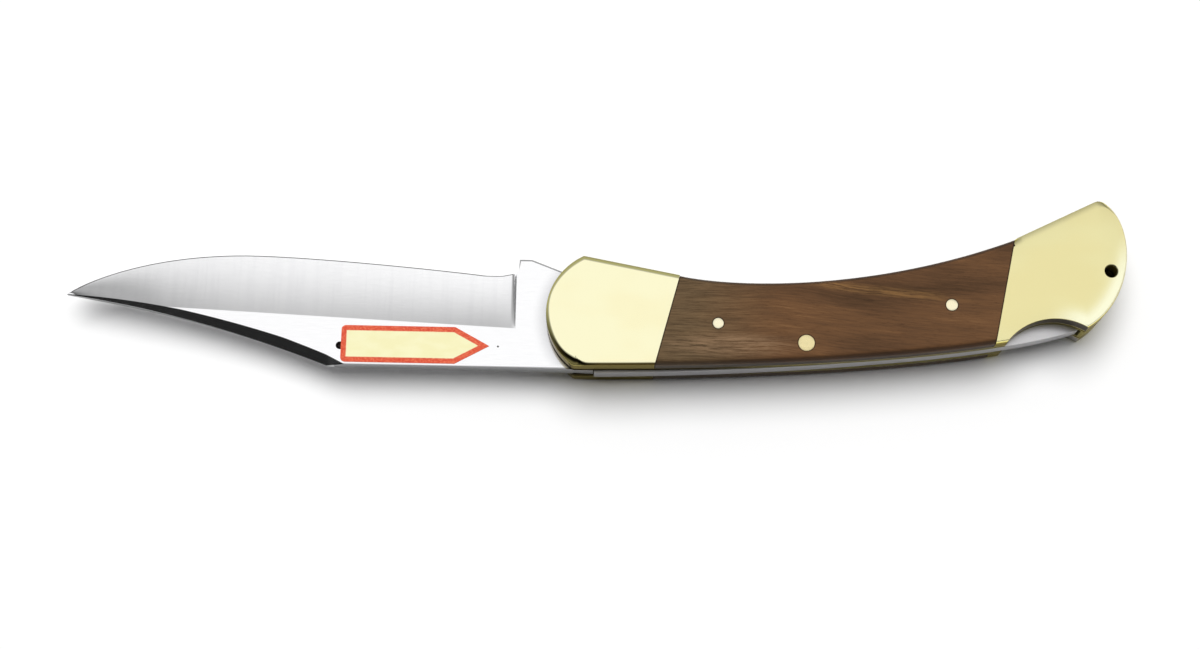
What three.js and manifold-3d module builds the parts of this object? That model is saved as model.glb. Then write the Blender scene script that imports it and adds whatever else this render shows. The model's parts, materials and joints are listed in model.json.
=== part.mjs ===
import * as THREE from 'three';
import { mergeVertices } from 'three/addons/utils/BufferGeometryUtils.js';
import Module from 'manifold-3d';

// A lockback folding knife, open and lying on its side. Millimetres, +Z up.
// The pivot's axis is the origin in X and Y, and Z = 0 is the side that it rests on.
// +X runs along the handle to the butt, and +Y to the cutting edge and the handle's belly.

// Layers across the knife, counted from the resting side
const coverThickness = 3.9;
const linerThickness = 1.3;
const steelThickness = 4.0;
const sideClearance = 0.2;

// Reach of the blade's tip from the pivot, and how much further the butt reaches to house it
const bladeReach = 112.75;
const buttOverreach = 2.95;
const buttReach = bladeReach + buttOverreach;

// Handle: front arc, back, belly and butt curves
const frontArcRadius = 14.05;
const frontArcCentreX = 5.5;
const frontArcCentreY = -1.0;
const frontTopX = -0.7;
const backCornerX = -2.3;
const backCornerY = -12.5;
const backEndInset = 7.6;
const backEndY = -0.62;
const bellyFrontY = 7.75;
const shoulderY = 17.15;
const buttTopInset = 6.6;
const buttTopY = 25.75;
const buttTopLean = 25.5;
const buttSideLean = -33.4;
const buttCornerTangent = 1.4;
const hornAngle = 60;
const bolsterEdgeRadius = 0.8;
const woodEdgeRadius = 1.5;
const buttEdgeRadius = 1.3;

// How far the ends of each handle curve pull it along before it bends
const backFrontPull = { x: 54.15, y: 0.74 };
const backRearPull = { x: 14.33, y: 6.3 };
const bellyFrontPull = { x: 11.2, y: 2.3 };
const bellyRearPull = { x: 31, y: 12.2 };
const buttTopPull = { x: 6.66, y: 4.4 };
const buttHornPull = { x: 10.7, y: 6.5 };

// Seams between wood and bolsters: where they cross Y = 0, and how far they lean
const frontSeamX = 17.94;
const frontSeamLean = 14.6;
const rearSeamInset = 27.22;
const rearSeamX = buttReach - rearSeamInset;
const rearSeamLean = 11;
const seamGap = 0.04;

// Thumb notch in the back and lanyard hole, placed from the butt
const notchRadius = 13.26;
const notchInset = 15.3;
const notchCentreY = -13.56;
const lanyardRadius = 1.4;
const lanyardInset = 3.45;
const lanyardY = 10.4;

// Pins
const pivotRadius = 2.5;
const rockerRadius = 1.73;
const rockerX = 46.98;
const rockerY = -6.74;
const frontScalePinRadius = 1.15;
const frontScalePinInset = 10.26;
const frontScalePinX = frontSeamX + frontScalePinInset;
const frontScalePinY = -2.8;
const rearScalePinRadius = 1.25;
const rearScalePinInset = 10.53;
const rearScalePinX = rearSeamX - rearScalePinInset;
const rearScalePinY = 2.2;
const buttPinRadius = 1.2;
const tipPinInset = 5.52;
const tipPinDrop = 6.85;
const hornPinRun = 2.765;
const hornPinRise = 5.47;
const pinFit = 0.03;
const runningFit = 0.05;

// Blade: spine, clip, edge, grind and swedge. A run is counted from the tip.
const foldAngle = 170.5;
const tipY = 2.5;
const spineDepth = 12.12;
const clipRun = 57.15;
const clipCornerX = clipRun - bladeReach;
const clipRadius = 265;
const edgePeakRun = 39.8;
const edgePeakX = edgePeakRun - bladeReach;
const edgePeakY = 12.1;
const heelX = -22.1;
const heelY = 8.6;
const choilY = 9.3;
const edgeHalfThickness = 0.15;
const tipHalfThickness = 0.45;
const hollowDepth = 0.3;
const choilRun = 3.6;
const tipPull = { x: 4, y: 3.24 };
const peakFrontPull = 21.4;
const peakRearPull = { x: 15.34, y: 0.07 };
const heelPull = { x: 7.46, y: 0.87 };
const tangOverlap = 0.8;
const grindHeelY = -3.5;
const grindLean = 2.5;
const plungeX = -15.2;
const plungeRadius = 1.2;
const ridgeHalfThickness = 0.15;
const swedgeWidth = 2.0;
const swedgeFrontWidth = 1.5;
const swedgeFullRun = 25;
const swedgeFullX = swedgeFullRun - bladeReach;
const swedgeRunout = 4.0;

// Tang: kick, round end, lock notch
const kickFrontX = -14.66;
const kickRearX = -11.94;
const kickHeight = 11.85;
const kickRampAngle = 21;
const tangRadius = 9.6;
const tangDepth = 12.35;
const shoulderX = 1.7;
const lockNotchWidth = 3.8;
const lockNotchFloor = 5.6;

// Nail nick and paper sticker on the upper flat
const nickInset = 1.95;
const nickStartX = clipCornerX + nickInset;
const nickLength = 15;
const nickY = -8.0;
const nickHalfHeight = 0.85;
const nickDepth = 0.6;
const stickerThickness = 0.1;
const stickerInset = 1.1;
const stickerStartX = nickStartX + stickerInset;
const stickerBodyLength = 24.5;
const stickerPointLength = 7.4;
const stickerY = -7.55;
const stickerHalfHeight = 4.05;
const stickerCornerRadius = 0.7;

// Lock bar and back spring
const rockAngle = 3.2;
const seamClearance = 0.2;
const barInset = 0.12;
const barProud = 0.55;
const barProudRun = 62;
const hookLength = 3.4;
const hookClearance = 0.3;
const kickClearance = 0.28;
const bossWall = 1.2;
const bossFrontAngle = 130;
const bossRearAngle = 60;
const bossRun = 8;
const hookSlopeRun = 1.2;
const kickSeatRun = 1;
const armDepth = 3.65;
const armEndInset = 2;
const tailRiseInset = 4;
const tailInset = 9.8;
const tailCover = 0.75;
const springThickness = 1.6;
const springRun = 18.02;
const springRearInset = 11.7;
const springRearY = 7.0;
const springGap = 0.15;
const springSlotRoom = 0.3;

// Butt spacer
const spacerFrontInset = 16.2;
const spacerTopRise = 1.97;
const spacerTailRoom = 0.5;
const spacerSpringFit = 0.1;
const pressedClearance = 0.35;
const bladeRoom = 0.8;

const slotBottom = coverThickness + linerThickness;
const bladeBottom = slotBottom + sideClearance;
const bladeMiddle = bladeBottom + steelThickness / 2;
const bladeTop = bladeBottom + steelThickness;
const slotTop = bladeTop + sideClearance;
const upperCoverBottom = slotTop + linerThickness;
const knifeThickness = upperCoverBottom + coverThickness;
const circleSegments = 24;
const leastStep = 0.6;
const leastWidth = 0.1;
const beyond = 40;

const wasm = await Module();
wasm.setup();

const brass = new THREE.MeshStandardMaterial({ color: 0xf2e9b8, roughness: 0.25, metalness: 1 });
const steel = new THREE.MeshStandardMaterial({ color: 0xd9dade, roughness: 0.3, metalness: 1 });
const springSteel = new THREE.MeshStandardMaterial({ color: 0x77757c, roughness: 0.45, metalness: 1 });
const wood = new THREE.MeshStandardMaterial({ color: 0x6a4c36, roughness: 0.6, metalness: 0 });
const paper = new THREE.MeshStandardMaterial({ color: 0xde6950, roughness: 0.8, metalness: 0 });

const point = (x, y) => new THREE.Vector2(x, y);
const radians = THREE.MathUtils.degToRad;

function onCircle(centre, radius, angle) {
  return point(centre.x + radius * Math.cos(angle), centre.y + radius * Math.sin(angle));
}

// Points of an arc, both ends included
function arc(centre, radius, startAngle, endAngle, steps) {
  const points = [];
  for (let step = 0; step <= steps; step += 1) {
    points.push(onCircle(centre, radius, startAngle + (endAngle - startAngle) * step / steps));
  }
  return points;
}

function bezier(start, startPull, endPull, end, steps) {
  return new THREE.CubicBezierCurve(start, startPull, endPull, end).getPoints(steps);
}

// Height of a left-to-right run of points at x, carried on straight past its ends
function heightAt(points, x) {
  let next = points.findIndex((each, index) => index > 0 && each.x >= x);
  if (next < 0) {
    next = points.length - 1;
  }
  const from = points[next - 1];
  const to = points[next];
  return from.y + (to.y - from.y) * (x - from.x) / (to.x - from.x);
}

// The run of points between two x values, with its ends cut exactly there
function between(points, startX, endX) {
  const inside = points.filter((each) => each.x > startX + leastStep && each.x < endX - leastStep);
  return [point(startX, heightAt(points, startX)), ...inside, point(endX, heightAt(points, endX))];
}

// A run of points moved sideways, to the right of its direction for a positive distance
function movedSideways(points, distance) {
  return points.map((each, index) => {
    const before = points[Math.max(index - 1, 0)];
    const after = points[Math.min(index + 1, points.length - 1)];
    const along = after.clone().sub(before).normalize();
    return point(each.x + along.y * distance, each.y - along.x * distance);
  });
}

// Where a point of the open blade lies once the blade is folded shut
function folded(each) {
  return each.clone().rotateAround(point(0, 0), -radians(foldAngle));
}

function toSolid(geometry) {
  const bare = geometry.clone();
  bare.deleteAttribute('normal');
  bare.deleteAttribute('uv');
  const merged = mergeVertices(bare, 1e-5);
  return new wasm.Manifold(new wasm.Mesh({
    numProp: 3,
    vertProperties: new Float32Array(merged.attributes.position.array),
    triVerts: new Uint32Array(merged.index.array),
  }));
}

function toGeometry(solid) {
  const mesh = solid.getMesh();
  const geometry = new THREE.BufferGeometry();
  geometry.setAttribute('position', new THREE.BufferAttribute(mesh.vertProperties, 3));
  geometry.setIndex(new THREE.BufferAttribute(mesh.triVerts, 1));
  geometry.computeVertexNormals();
  return geometry;
}

// A plate of the outline from one height to another, with round holes
function plate(outline, bottom, top, holes = []) {
  const shape = new THREE.Shape(outline);
  for (const hole of holes) {
    const rim = arc(hole, hole.radius, 0, 2 * Math.PI, circleSegments).slice(1);
    shape.holes.push(new THREE.Path(rim));
  }
  const settings = { depth: top - bottom, bevelEnabled: false };
  return new THREE.ExtrudeGeometry(shape, settings).translate(0, 0, bottom);
}

function pin(x, y, radius, bottom, top) {
  const geometry = new THREE.CylinderGeometry(radius, radius, top - bottom, circleSegments);
  return geometry.rotateX(Math.PI / 2).translate(x, y, (bottom + top) / 2);
}

// Handle curves
const frontArcCentre = point(frontArcCentreX, frontArcCentreY);
const notchCentre = point(buttReach - notchInset, notchCentreY);
const bellyFrontX = frontSeamX + Math.tan(radians(frontSeamLean)) * bellyFrontY;
const shoulderStartX = rearSeamX + Math.tan(radians(rearSeamLean)) * shoulderY;
const horn = onCircle(notchCentre, notchRadius, radians(hornAngle));
const tip = point(-bladeReach, tipY);
const tipPlace = folded(tip);

function backCurve(steps) {
  const start = point(backCornerX, backCornerY);
  const end = point(buttReach - backEndInset, backEndY);
  return bezier(start, start.clone().add(backFrontPull), end.clone().sub(backRearPull), end, steps);
}

const backPoints = backCurve(44);

function backY(x) {
  return heightAt(backPoints, x);
}

function frontArcPoints() {
  const bottomAngle = Math.atan2(backCornerY - frontArcCentreY, backCornerX - frontArcCentreX);
  const topAngle = Math.acos((frontTopX - frontArcCentreX) / frontArcRadius);
  const round = arc(frontArcCentre, frontArcRadius, bottomAngle + 2 * Math.PI, topAngle, 22);
  return [point(backCornerX, backCornerY), ...round.slice(1)];
}

function bellyPoints() {
  const start = point(bellyFrontX, bellyFrontY);
  const end = point(shoulderStartX, shoulderY);
  const frontPull = point(start.x + bellyFrontPull.x, start.y - bellyFrontPull.y);
  return bezier(start, frontPull, end.clone().sub(bellyRearPull), end, 22);
}

function buttPoints() {
  const top = point(buttReach - buttTopInset, buttTopY);
  const turn = onCircle(top, buttCornerTangent, radians(buttTopLean));
  const sideStart = onCircle(turn, buttCornerTangent, radians(buttSideLean));
  const corner = new THREE.QuadraticBezierCurve(top, turn, sideStart);
  const topPull = point(sideStart.x + buttTopPull.x, sideStart.y - buttTopPull.y);
  const side = bezier(sideStart, topPull, horn.clone().add(buttHornPull), horn, 22);
  return [...corner.getPoints(3), ...side.slice(1)];
}

// Where the thumb notch's arc meets the back
function notchFrontX() {
  const inside = backPoints.find((each) => each.x > 60 && each.distanceTo(notchCentre) < notchRadius);
  const index = backPoints.indexOf(inside);
  const outer = backPoints[index - 1];
  const share = (outer.distanceTo(notchCentre) - notchRadius)
    / (outer.distanceTo(notchCentre) - inside.distanceTo(notchCentre));
  return outer.x + (inside.x - outer.x) * share;
}

function notchPoints() {
  const endAngle = Math.acos((notchFrontX() - notchCentre.x) / notchRadius);
  return arc(notchCentre, notchRadius, radians(hornAngle), endAngle, 18).slice(1);
}

const outline = [
  ...frontArcPoints(),
  ...bellyPoints(),
  ...buttPoints(),
  ...notchPoints(),
  ...between(backPoints, backCornerX, notchFrontX()).slice(1, -1).reverse(),
];

// The whole handle as one slab with its long edges rounded at both faces
function handleSlab(edgeRadius) {
  const geometry = new THREE.ExtrudeGeometry(new THREE.Shape(outline), {
    depth: knifeThickness - 2 * edgeRadius,
    bevelThickness: edgeRadius,
    bevelSize: edgeRadius,
    bevelOffset: -edgeRadius,
    bevelSegments: 3,
  });
  return toSolid(geometry.translate(0, 0, edgeRadius));
}

function seamPoint(seamX, lean, y, shift) {
  return point(seamX + Math.tan(radians(lean)) * y + shift, y);
}

const pivotHole = { x: 0, y: 0, radius: pivotRadius + pinFit };
const rockerHole = { x: rockerX, y: rockerY, radius: rockerRadius + pinFit };
const frontScaleHole = { x: frontScalePinX, y: frontScalePinY, radius: frontScalePinRadius + pinFit };
const rearScaleHole = { x: rearScalePinX, y: rearScalePinY, radius: rearScalePinRadius + pinFit };
const buttHoleRadius = buttPinRadius + pinFit;
const frontButtHole = { x: tipPlace.x - tipPinInset, y: tipPlace.y - tipPinDrop, radius: buttHoleRadius };
const rearButtHole = { x: horn.x + hornPinRun, y: horn.y + hornPinRise, radius: buttHoleRadius };
const lanyardHole = { x: buttReach - lanyardInset, y: lanyardY, radius: lanyardRadius };
const buttHoles = [frontButtHole, rearButtHole, lanyardHole];

function frontBolster(bottom, top) {
  const region = [
    point(-beyond, -beyond),
    seamPoint(frontSeamX, frontSeamLean, -beyond, -seamGap / 2),
    seamPoint(frontSeamX, frontSeamLean, beyond, -seamGap / 2),
    point(-beyond, beyond),
  ];
  const block = toSolid(plate(region, bottom, top, [pivotHole]));
  return toGeometry(handleSlab(bolsterEdgeRadius).intersect(block));
}

function woodScale(bottom, top) {
  const region = [
    seamPoint(frontSeamX, frontSeamLean, -beyond, seamGap / 2),
    seamPoint(rearSeamX, rearSeamLean, -beyond, -seamGap / 2),
    seamPoint(rearSeamX, rearSeamLean, beyond, -seamGap / 2),
    seamPoint(frontSeamX, frontSeamLean, beyond, seamGap / 2),
  ];
  const block = toSolid(plate(region, bottom, top, [frontScaleHole, rockerHole, rearScaleHole]));
  return toGeometry(handleSlab(woodEdgeRadius).intersect(block));
}

function rearBolster(bottom, top) {
  const region = [
    seamPoint(rearSeamX, rearSeamLean, -beyond, seamGap / 2),
    point(buttReach + beyond, -beyond),
    point(buttReach + beyond, beyond),
    seamPoint(rearSeamX, rearSeamLean, beyond, seamGap / 2),
  ];
  const block = toSolid(plate(region, bottom, top, buttHoles));
  return toGeometry(handleSlab(buttEdgeRadius).intersect(block));
}

function liner(bottom, top) {
  return plate(outline, bottom, top, [pivotHole, frontScaleHole, rockerHole, rearScaleHole, ...buttHoles]);
}

// Blade curves, left to right from the tip
const edgePoints = [
  ...bezier(tip, tip.clone().add(tipPull), point(edgePeakX - peakFrontPull, edgePeakY),
    point(edgePeakX, edgePeakY), 40),
  ...bezier(point(edgePeakX, edgePeakY), point(edgePeakX + peakRearPull.x, edgePeakY - peakRearPull.y),
    point(heelX - heelPull.x, heelY + heelPull.y), point(heelX, heelY), 20).slice(1),
  point(heelX + choilRun, heelY),
  point(plungeX, choilY),
];

// The clip is a hollow arc from the tip down to the spine
function clipPoints() {
  const corner = point(clipCornerX, -spineDepth);
  const chord = corner.clone().sub(tip);
  const rise = Math.sqrt(clipRadius ** 2 - (chord.length() / 2) ** 2);
  const across = point(chord.y, -chord.x).normalize().multiplyScalar(rise);
  const centre = tip.clone().add(corner).multiplyScalar(0.5).add(across);
  const startAngle = Math.atan2(tip.y - centre.y, tip.x - centre.x);
  const endAngle = Math.atan2(corner.y - centre.y, corner.x - centre.x);
  return [...arc(centre, clipRadius, startAngle, endAngle, 30), point(0, -spineDepth)];
}

const bladeBackPoints = clipPoints();

function clampedMap(x, fromX, toX, fromValue, toValue) {
  return THREE.MathUtils.clamp(THREE.MathUtils.mapLinear(x, fromX, toX, fromValue, toValue),
    Math.min(fromValue, toValue), Math.max(fromValue, toValue));
}

function grindY(x) {
  return grindHeelY - Math.tan(radians(grindLean)) * (x - plungeX);
}

// Half the blade's thickness: flat below the grind line, hollow from there to the edge, thinner to the tip
function halfThickness(x, y) {
  const flat = steelThickness / 2;
  const edge = heightAt(edgePoints, x);
  const share = THREE.MathUtils.clamp((y - grindY(x)) / (edge - grindY(x)), 0, 1);
  const ground = flat - (flat - edgeHalfThickness) * share - hollowDepth * 4 * share * (1 - share);
  const taper = clampedMap(x, -bladeReach, swedgeFullX, tipHalfThickness / flat, 1);
  const run = THREE.MathUtils.clamp((x - plungeX + plungeRadius) / plungeRadius, 0, 1);
  const fillet = 1 - Math.sqrt(1 - run ** 2);
  return Math.max(ground * taper, edgeHalfThickness) * (1 - fillet) + flat * fillet;
}

// One cross-section: its corners run up the upper side from the back to the edge, then down the lower side
function bladeSection(x) {
  const back = heightAt(bladeBackPoints, x);
  const edge = heightAt(edgePoints, x);
  const runout = clampedMap(x, clipCornerX, clipCornerX + swedgeRunout, 0, 1);
  const width = clampedMap(x, swedgeFullX, clipCornerX, swedgeFrontWidth, swedgeWidth)
    * clampedMap(x, -bladeReach, swedgeFullX, leastWidth, 1) * (1 - runout) + leastWidth * runout;
  const swedgeTop = Math.min(back + width, (back + edge) / 2);
  const grindStart = Math.min(Math.max(grindY(x), swedgeTop + leastWidth), (swedgeTop + edge) / 2);
  const ridge = Math.min(ridgeHalfThickness, halfThickness(x, swedgeTop));
  const heights = [back, swedgeTop];
  for (const share of [0, 0.25, 0.5, 0.75, 1]) {
    heights.push(grindStart + (edge - grindStart) * share);
  }
  const halves = heights.map((y) => halfThickness(x, y));
  halves[0] = ridge * (1 - runout) + (steelThickness / 2) * runout;
  const upper = heights.map((y, index) => new THREE.Vector3(x, y, bladeMiddle + halves[index]));
  const lower = heights.map((y, index) => new THREE.Vector3(x, y, bladeMiddle - halves[index]));
  return [...upper, ...lower.reverse()];
}

// A closed solid through rings of points, each end closed by a fan
function loft(rings) {
  const count = rings[0].length;
  const positions = rings.flat().flatMap((each) => [each.x, each.y, each.z]);
  const indices = [];
  for (let ring = 0; ring + 1 < rings.length; ring += 1) {
    for (let side = 0; side < count; side += 1) {
      const here = ring * count + side;
      const beside = ring * count + (side + 1) % count;
      indices.push(here, here + count, beside, beside, here + count, beside + count);
    }
  }
  for (const ring of [0, rings.length - 1]) {
    const middle = rings[ring].reduce((sum, each) => sum.add(each), new THREE.Vector3()).divideScalar(count);
    const centre = positions.length / 3;
    positions.push(middle.x, middle.y, middle.z);
    for (let side = 0; side < count; side += 1) {
      const here = ring * count + side;
      const beside = ring * count + (side + 1) % count;
      indices.push(...(ring === 0 ? [centre, here, beside] : [centre, beside, here]));
    }
  }
  const geometry = new THREE.BufferGeometry();
  geometry.setAttribute('position', new THREE.Float32BufferAttribute(positions, 3));
  geometry.setIndex(indices);
  return geometry;
}

function spread(start, end, steps, power = 1) {
  const values = [];
  for (let step = 0; step < steps; step += 1) {
    values.push(start + (end - start) * (step / steps) ** power);
  }
  return values;
}

function groundBlade() {
  const stations = [
    ...spread(-bladeReach + 0.3, clipCornerX, 20, 1.4),
    ...spread(clipCornerX, clipCornerX + swedgeRunout, 4),
    ...spread(clipCornerX + swedgeRunout, plungeX - plungeRadius, 9),
    ...spread(plungeX - plungeRadius, plungeX, 5, 0.7),
    plungeX,
    plungeX + tangOverlap,
  ];
  return toSolid(loft(stations.map(bladeSection)));
}

const kickFront = point(kickFrontX, kickHeight);
const kickRear = point(kickRearX, kickHeight);
const tangFrontX = plungeX + tangOverlap / 2;

// The tang in outline: spine, lock notch, round end, ramp and kick
function tangOutline() {
  const notchEndX = shoulderX + lockNotchWidth;
  const roundStart = -Math.acos(notchEndX / tangRadius);
  const ramp = radians(180 - kickRampAngle);
  const toPivot = kickRear.x * Math.sin(ramp) - kickRear.y * Math.cos(ramp);
  const roundEnd = ramp - Math.asin(Math.abs(toPivot) / tangRadius);
  return [
    point(tangFrontX, -spineDepth),
    point(shoulderX, -tangDepth),
    point(shoulderX, -lockNotchFloor),
    point(notchEndX, -lockNotchFloor),
    ...arc(point(0, 0), tangRadius, roundStart, roundEnd, 24),
    kickRear,
    kickFront,
    point(tangFrontX, choilY),
  ];
}

function nailNick() {
  const startCentre = point(nickStartX + nickHalfHeight, nickY);
  const endCentre = point(nickStartX + nickLength - nickHalfHeight, nickY);
  const slot = [
    ...arc(startCentre, nickHalfHeight, Math.PI / 2, Math.PI * 1.5, 8),
    ...arc(endCentre, nickHalfHeight, -Math.PI / 2, Math.PI / 2, 8),
  ];
  return toSolid(plate(slot, bladeTop - nickDepth, bladeTop + 1));
}

function blade() {
  const hole = { x: 0, y: 0, radius: pivotRadius + runningFit };
  const tang = toSolid(plate(tangOutline(), bladeBottom, bladeTop, [hole]));
  return toGeometry(groundBlade().add(tang).subtract(nailNick()));
}

function sticker() {
  const radius = stickerCornerRadius;
  const top = stickerY + stickerHalfHeight;
  const bottom = stickerY - stickerHalfHeight;
  const shoulder = stickerStartX + stickerBodyLength;
  const corners = [
    ...arc(point(stickerStartX + radius, top - radius), radius, Math.PI, Math.PI / 2, 4),
    point(shoulder, top),
    point(shoulder + stickerPointLength, stickerY),
    point(shoulder, bottom),
    ...arc(point(stickerStartX + radius, bottom + radius), radius, -Math.PI / 2, -Math.PI, 4),
  ];
  return plate(corners, bladeTop, bladeTop + stickerThickness);
}

// Lock bar
const barFrontX = shoulderX + seamClearance;
const tailX = buttReach - tailInset;
const tailTopY = notchCentreY + notchRadius + tailCover;
const tailRiseX = notchCentre.x - tailRiseInset;
const armEndX = notchFrontX() - armEndInset;

function armTopY(x) {
  return backY(x) + barInset + armDepth;
}

// The bar stands proud of the liners behind the tang and sinks into them towards the butt
function barBackY(x) {
  return backY(x) + clampedMap(x, barFrontX, barProudRun, -barProud, barInset);
}

function lockBar() {
  const hookRadius = tangRadius + hookClearance;
  const hookEndX = barFrontX + hookLength;
  const onHook = (x) => point(x, -Math.sqrt(hookRadius ** 2 - x ** 2));
  const kickPlaceY = Math.min(folded(kickFront).y, folded(kickRear).y);
  const seatY = Math.min(kickPlaceY - kickClearance, onHook(hookEndX).y);
  const rocker = point(rockerX, rockerY);
  const back = between(backPoints, barFrontX, tailX).map((each) => point(each.x, barBackY(each.x)));
  const top = [
    onHook(barFrontX),
    onHook(barFrontX + hookLength / 2),
    onHook(hookEndX),
    point(hookEndX + hookSlopeRun, seatY),
    point(folded(kickFront).x + kickSeatRun, seatY),
    ...arc(rocker, rockerRadius + bossWall, radians(bossFrontAngle), radians(bossRearAngle), 8),
    ...spread(rockerX + bossRun, armEndX, 6).map((x) => point(x, armTopY(x))),
    point(armEndX, armTopY(armEndX)),
    point(tailRiseX, tailTopY),
    point(tailX, tailTopY),
  ];
  const hole = { x: rockerX, y: rockerY, radius: rockerRadius + runningFit };
  return plate([...back, ...top.reverse()], bladeBottom, bladeTop, [hole]);
}

// The spring is a straight leaf from the butt spacer to the lock bar's rear arm
const springFrontX = rockerX + springRun;
const springFront = point(springFrontX, armTopY(springFrontX) + springGap + springThickness / 2);
const springRear = point(buttReach - springRearInset, springRearY);

function leaf(halfThick, rearReach) {
  const along = springRear.clone().sub(springFront).normalize();
  const angle = Math.atan2(along.y, along.x);
  const rear = springRear.clone().addScaledVector(along, rearReach);
  const across = point(-along.y, along.x).multiplyScalar(halfThick);
  return [
    ...arc(springFront, halfThick, angle + Math.PI / 2, angle + Math.PI * 1.5, 8),
    rear.clone().sub(across),
    rear.clone().add(across),
  ];
}

function backSpring() {
  return plate(leaf(springThickness / 2, 0), bladeBottom, bladeTop);
}

// The butt spacer fills the slot behind the folded blade's edge and above the pressed lock bar
function rearSpacer() {
  const frontX = buttReach - spacerFrontInset;
  const rocker = point(rockerX, rockerY);
  const pressed = [point(tailRiseX, tailTopY), point(tailX, tailTopY)]
    .map((each) => each.rotateAround(rocker, radians(rockAngle)));
  const behindTail = tailX + spacerTailRoom;
  const edge = edgePoints.map(folded).reverse();
  const spacerTopY = tipPlace.y + spacerTopRise;
  const clearOfEdge = movedSideways(between(edge, frontX, tipPlace.x), bladeRoom);
  const blank = [
    point(frontX, heightAt(pressed, frontX) + pressedClearance),
    point(behindTail, heightAt(pressed, behindTail) + pressedClearance),
    point(behindTail, -beyond),
    point(buttReach + beyond, -beyond),
    point(buttReach + beyond, spacerTopY),
    point(tipPlace.x + bladeRoom, spacerTopY),
    ...clearOfEdge.filter((each) => each.x > frontX + leastStep).reverse(),
    point(frontX, heightAt(clearOfEdge, frontX)),
  ];
  const block = toSolid(plate(blank, slotBottom, slotTop, buttHoles));
  const handle = toSolid(plate(outline, slotBottom, slotTop));
  const slotOutline = leaf(springThickness / 2 + spacerSpringFit, springSlotRoom);
  const springSlot = toSolid(plate(slotOutline, slotBottom - 1, slotTop + 1));
  return toGeometry(handle.intersect(block).subtract(springSlot));
}

const knife = new THREE.Group();

function addPiece(name, geometry, material) {
  const mesh = new THREE.Mesh(geometry, material);
  mesh.name = name;
  knife.add(mesh);
}

addPiece('blade', blade(), steel);
addPiece('inspection_sticker', sticker(), paper);
addPiece('lock_bar', lockBar(), springSteel);
addPiece('back_spring', backSpring(), springSteel);
addPiece('rear_spacer', rearSpacer(), brass);

const sides = [
  { side: 'lower', cover: [0, coverThickness], linerSpan: [coverThickness, slotBottom] },
  { side: 'upper', cover: [upperCoverBottom, knifeThickness], linerSpan: [slotTop, upperCoverBottom] },
];

for (const { side, cover, linerSpan } of sides) {
  const bottom = Math.min(...cover, ...linerSpan);
  const top = Math.max(...cover, ...linerSpan);
  const frontPin = pin(frontScalePinX, frontScalePinY, frontScalePinRadius, bottom, top);
  const rearPin = pin(rearScalePinX, rearScalePinY, rearScalePinRadius, bottom, top);
  addPiece(`liner_${side}`, liner(...linerSpan), brass);
  addPiece(`front_bolster_${side}`, frontBolster(...cover), brass);
  addPiece(`wood_scale_${side}`, woodScale(...cover), wood);
  addPiece(`rear_bolster_${side}`, rearBolster(...cover), brass);
  addPiece(`front_scale_pin_${side}`, frontPin, brass);
  addPiece(`rear_scale_pin_${side}`, rearPin, brass);
}

addPiece('pivot_pin', pin(0, 0, pivotRadius, 0, knifeThickness), brass);
addPiece('rocker_pin', pin(rockerX, rockerY, rockerRadius, 0, knifeThickness), brass);
addPiece('front_butt_pin', pin(frontButtHole.x, frontButtHole.y, buttPinRadius, 0, knifeThickness), brass);
addPiece('rear_butt_pin', pin(rearButtHole.x, rearButtHole.y, buttPinRadius, 0, knifeThickness), brass);

export default knife;
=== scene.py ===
# %% [markdown]
# # A lockback folding knife
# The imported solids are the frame: they say where each piece is and how it moves. This lesson dresses
# them. Bolsters, scales, liners and blade are worked out again as fine surfaces, because polished metal
# shows every facet, and the steel inside keeps its solids and gets a finish.

# %% Load the frame
import json
import math
import bmesh
import bpy
import numpy as np
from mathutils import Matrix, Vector
from mathutils.geometry import delaunay_2d_cdt


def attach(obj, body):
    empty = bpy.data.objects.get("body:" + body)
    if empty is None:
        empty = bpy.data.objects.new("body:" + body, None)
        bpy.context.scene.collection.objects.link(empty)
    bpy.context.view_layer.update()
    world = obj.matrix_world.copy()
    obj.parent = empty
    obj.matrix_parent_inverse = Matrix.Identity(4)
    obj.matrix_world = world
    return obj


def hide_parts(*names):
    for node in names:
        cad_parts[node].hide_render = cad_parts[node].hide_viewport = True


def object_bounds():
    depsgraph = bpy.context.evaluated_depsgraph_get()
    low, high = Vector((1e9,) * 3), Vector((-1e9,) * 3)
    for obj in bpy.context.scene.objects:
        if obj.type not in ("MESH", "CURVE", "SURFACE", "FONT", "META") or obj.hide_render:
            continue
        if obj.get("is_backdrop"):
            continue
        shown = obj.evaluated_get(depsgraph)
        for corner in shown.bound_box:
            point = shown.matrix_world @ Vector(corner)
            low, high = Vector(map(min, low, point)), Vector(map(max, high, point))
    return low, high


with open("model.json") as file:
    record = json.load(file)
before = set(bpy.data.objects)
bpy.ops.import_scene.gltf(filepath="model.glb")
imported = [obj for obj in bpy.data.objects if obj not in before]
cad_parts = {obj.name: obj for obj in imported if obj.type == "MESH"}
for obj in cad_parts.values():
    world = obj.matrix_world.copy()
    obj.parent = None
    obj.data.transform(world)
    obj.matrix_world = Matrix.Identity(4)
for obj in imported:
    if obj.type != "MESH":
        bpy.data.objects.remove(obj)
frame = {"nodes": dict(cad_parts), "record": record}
cad_low, cad_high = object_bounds()
MM = 0.001
print("nodes", len(frame["nodes"]), "box", [round(v / MM, 1) for v in cad_high - cad_low])

# %% [markdown]
# ## Camera
# The photograph is taken from almost straight above. The camera leans 14 degrees towards the knife's
# back, so the back's thin side shows as a strip below the handle. It stands about half a metre away: from
# there the notch's left wall hides, and its right wall shows. The lens follows from how wide a strip of
# the knife's plane the photograph takes in at that distance.

# %% Camera
TILT, TURN = math.radians(13.8), math.radians(1.15)
AIM = Vector((3.0, -1.80, 7.4)) * MM
DISTANCE, SEEN_WIDTH, SENSOR = 0.50, 259.3 * MM, 36


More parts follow.
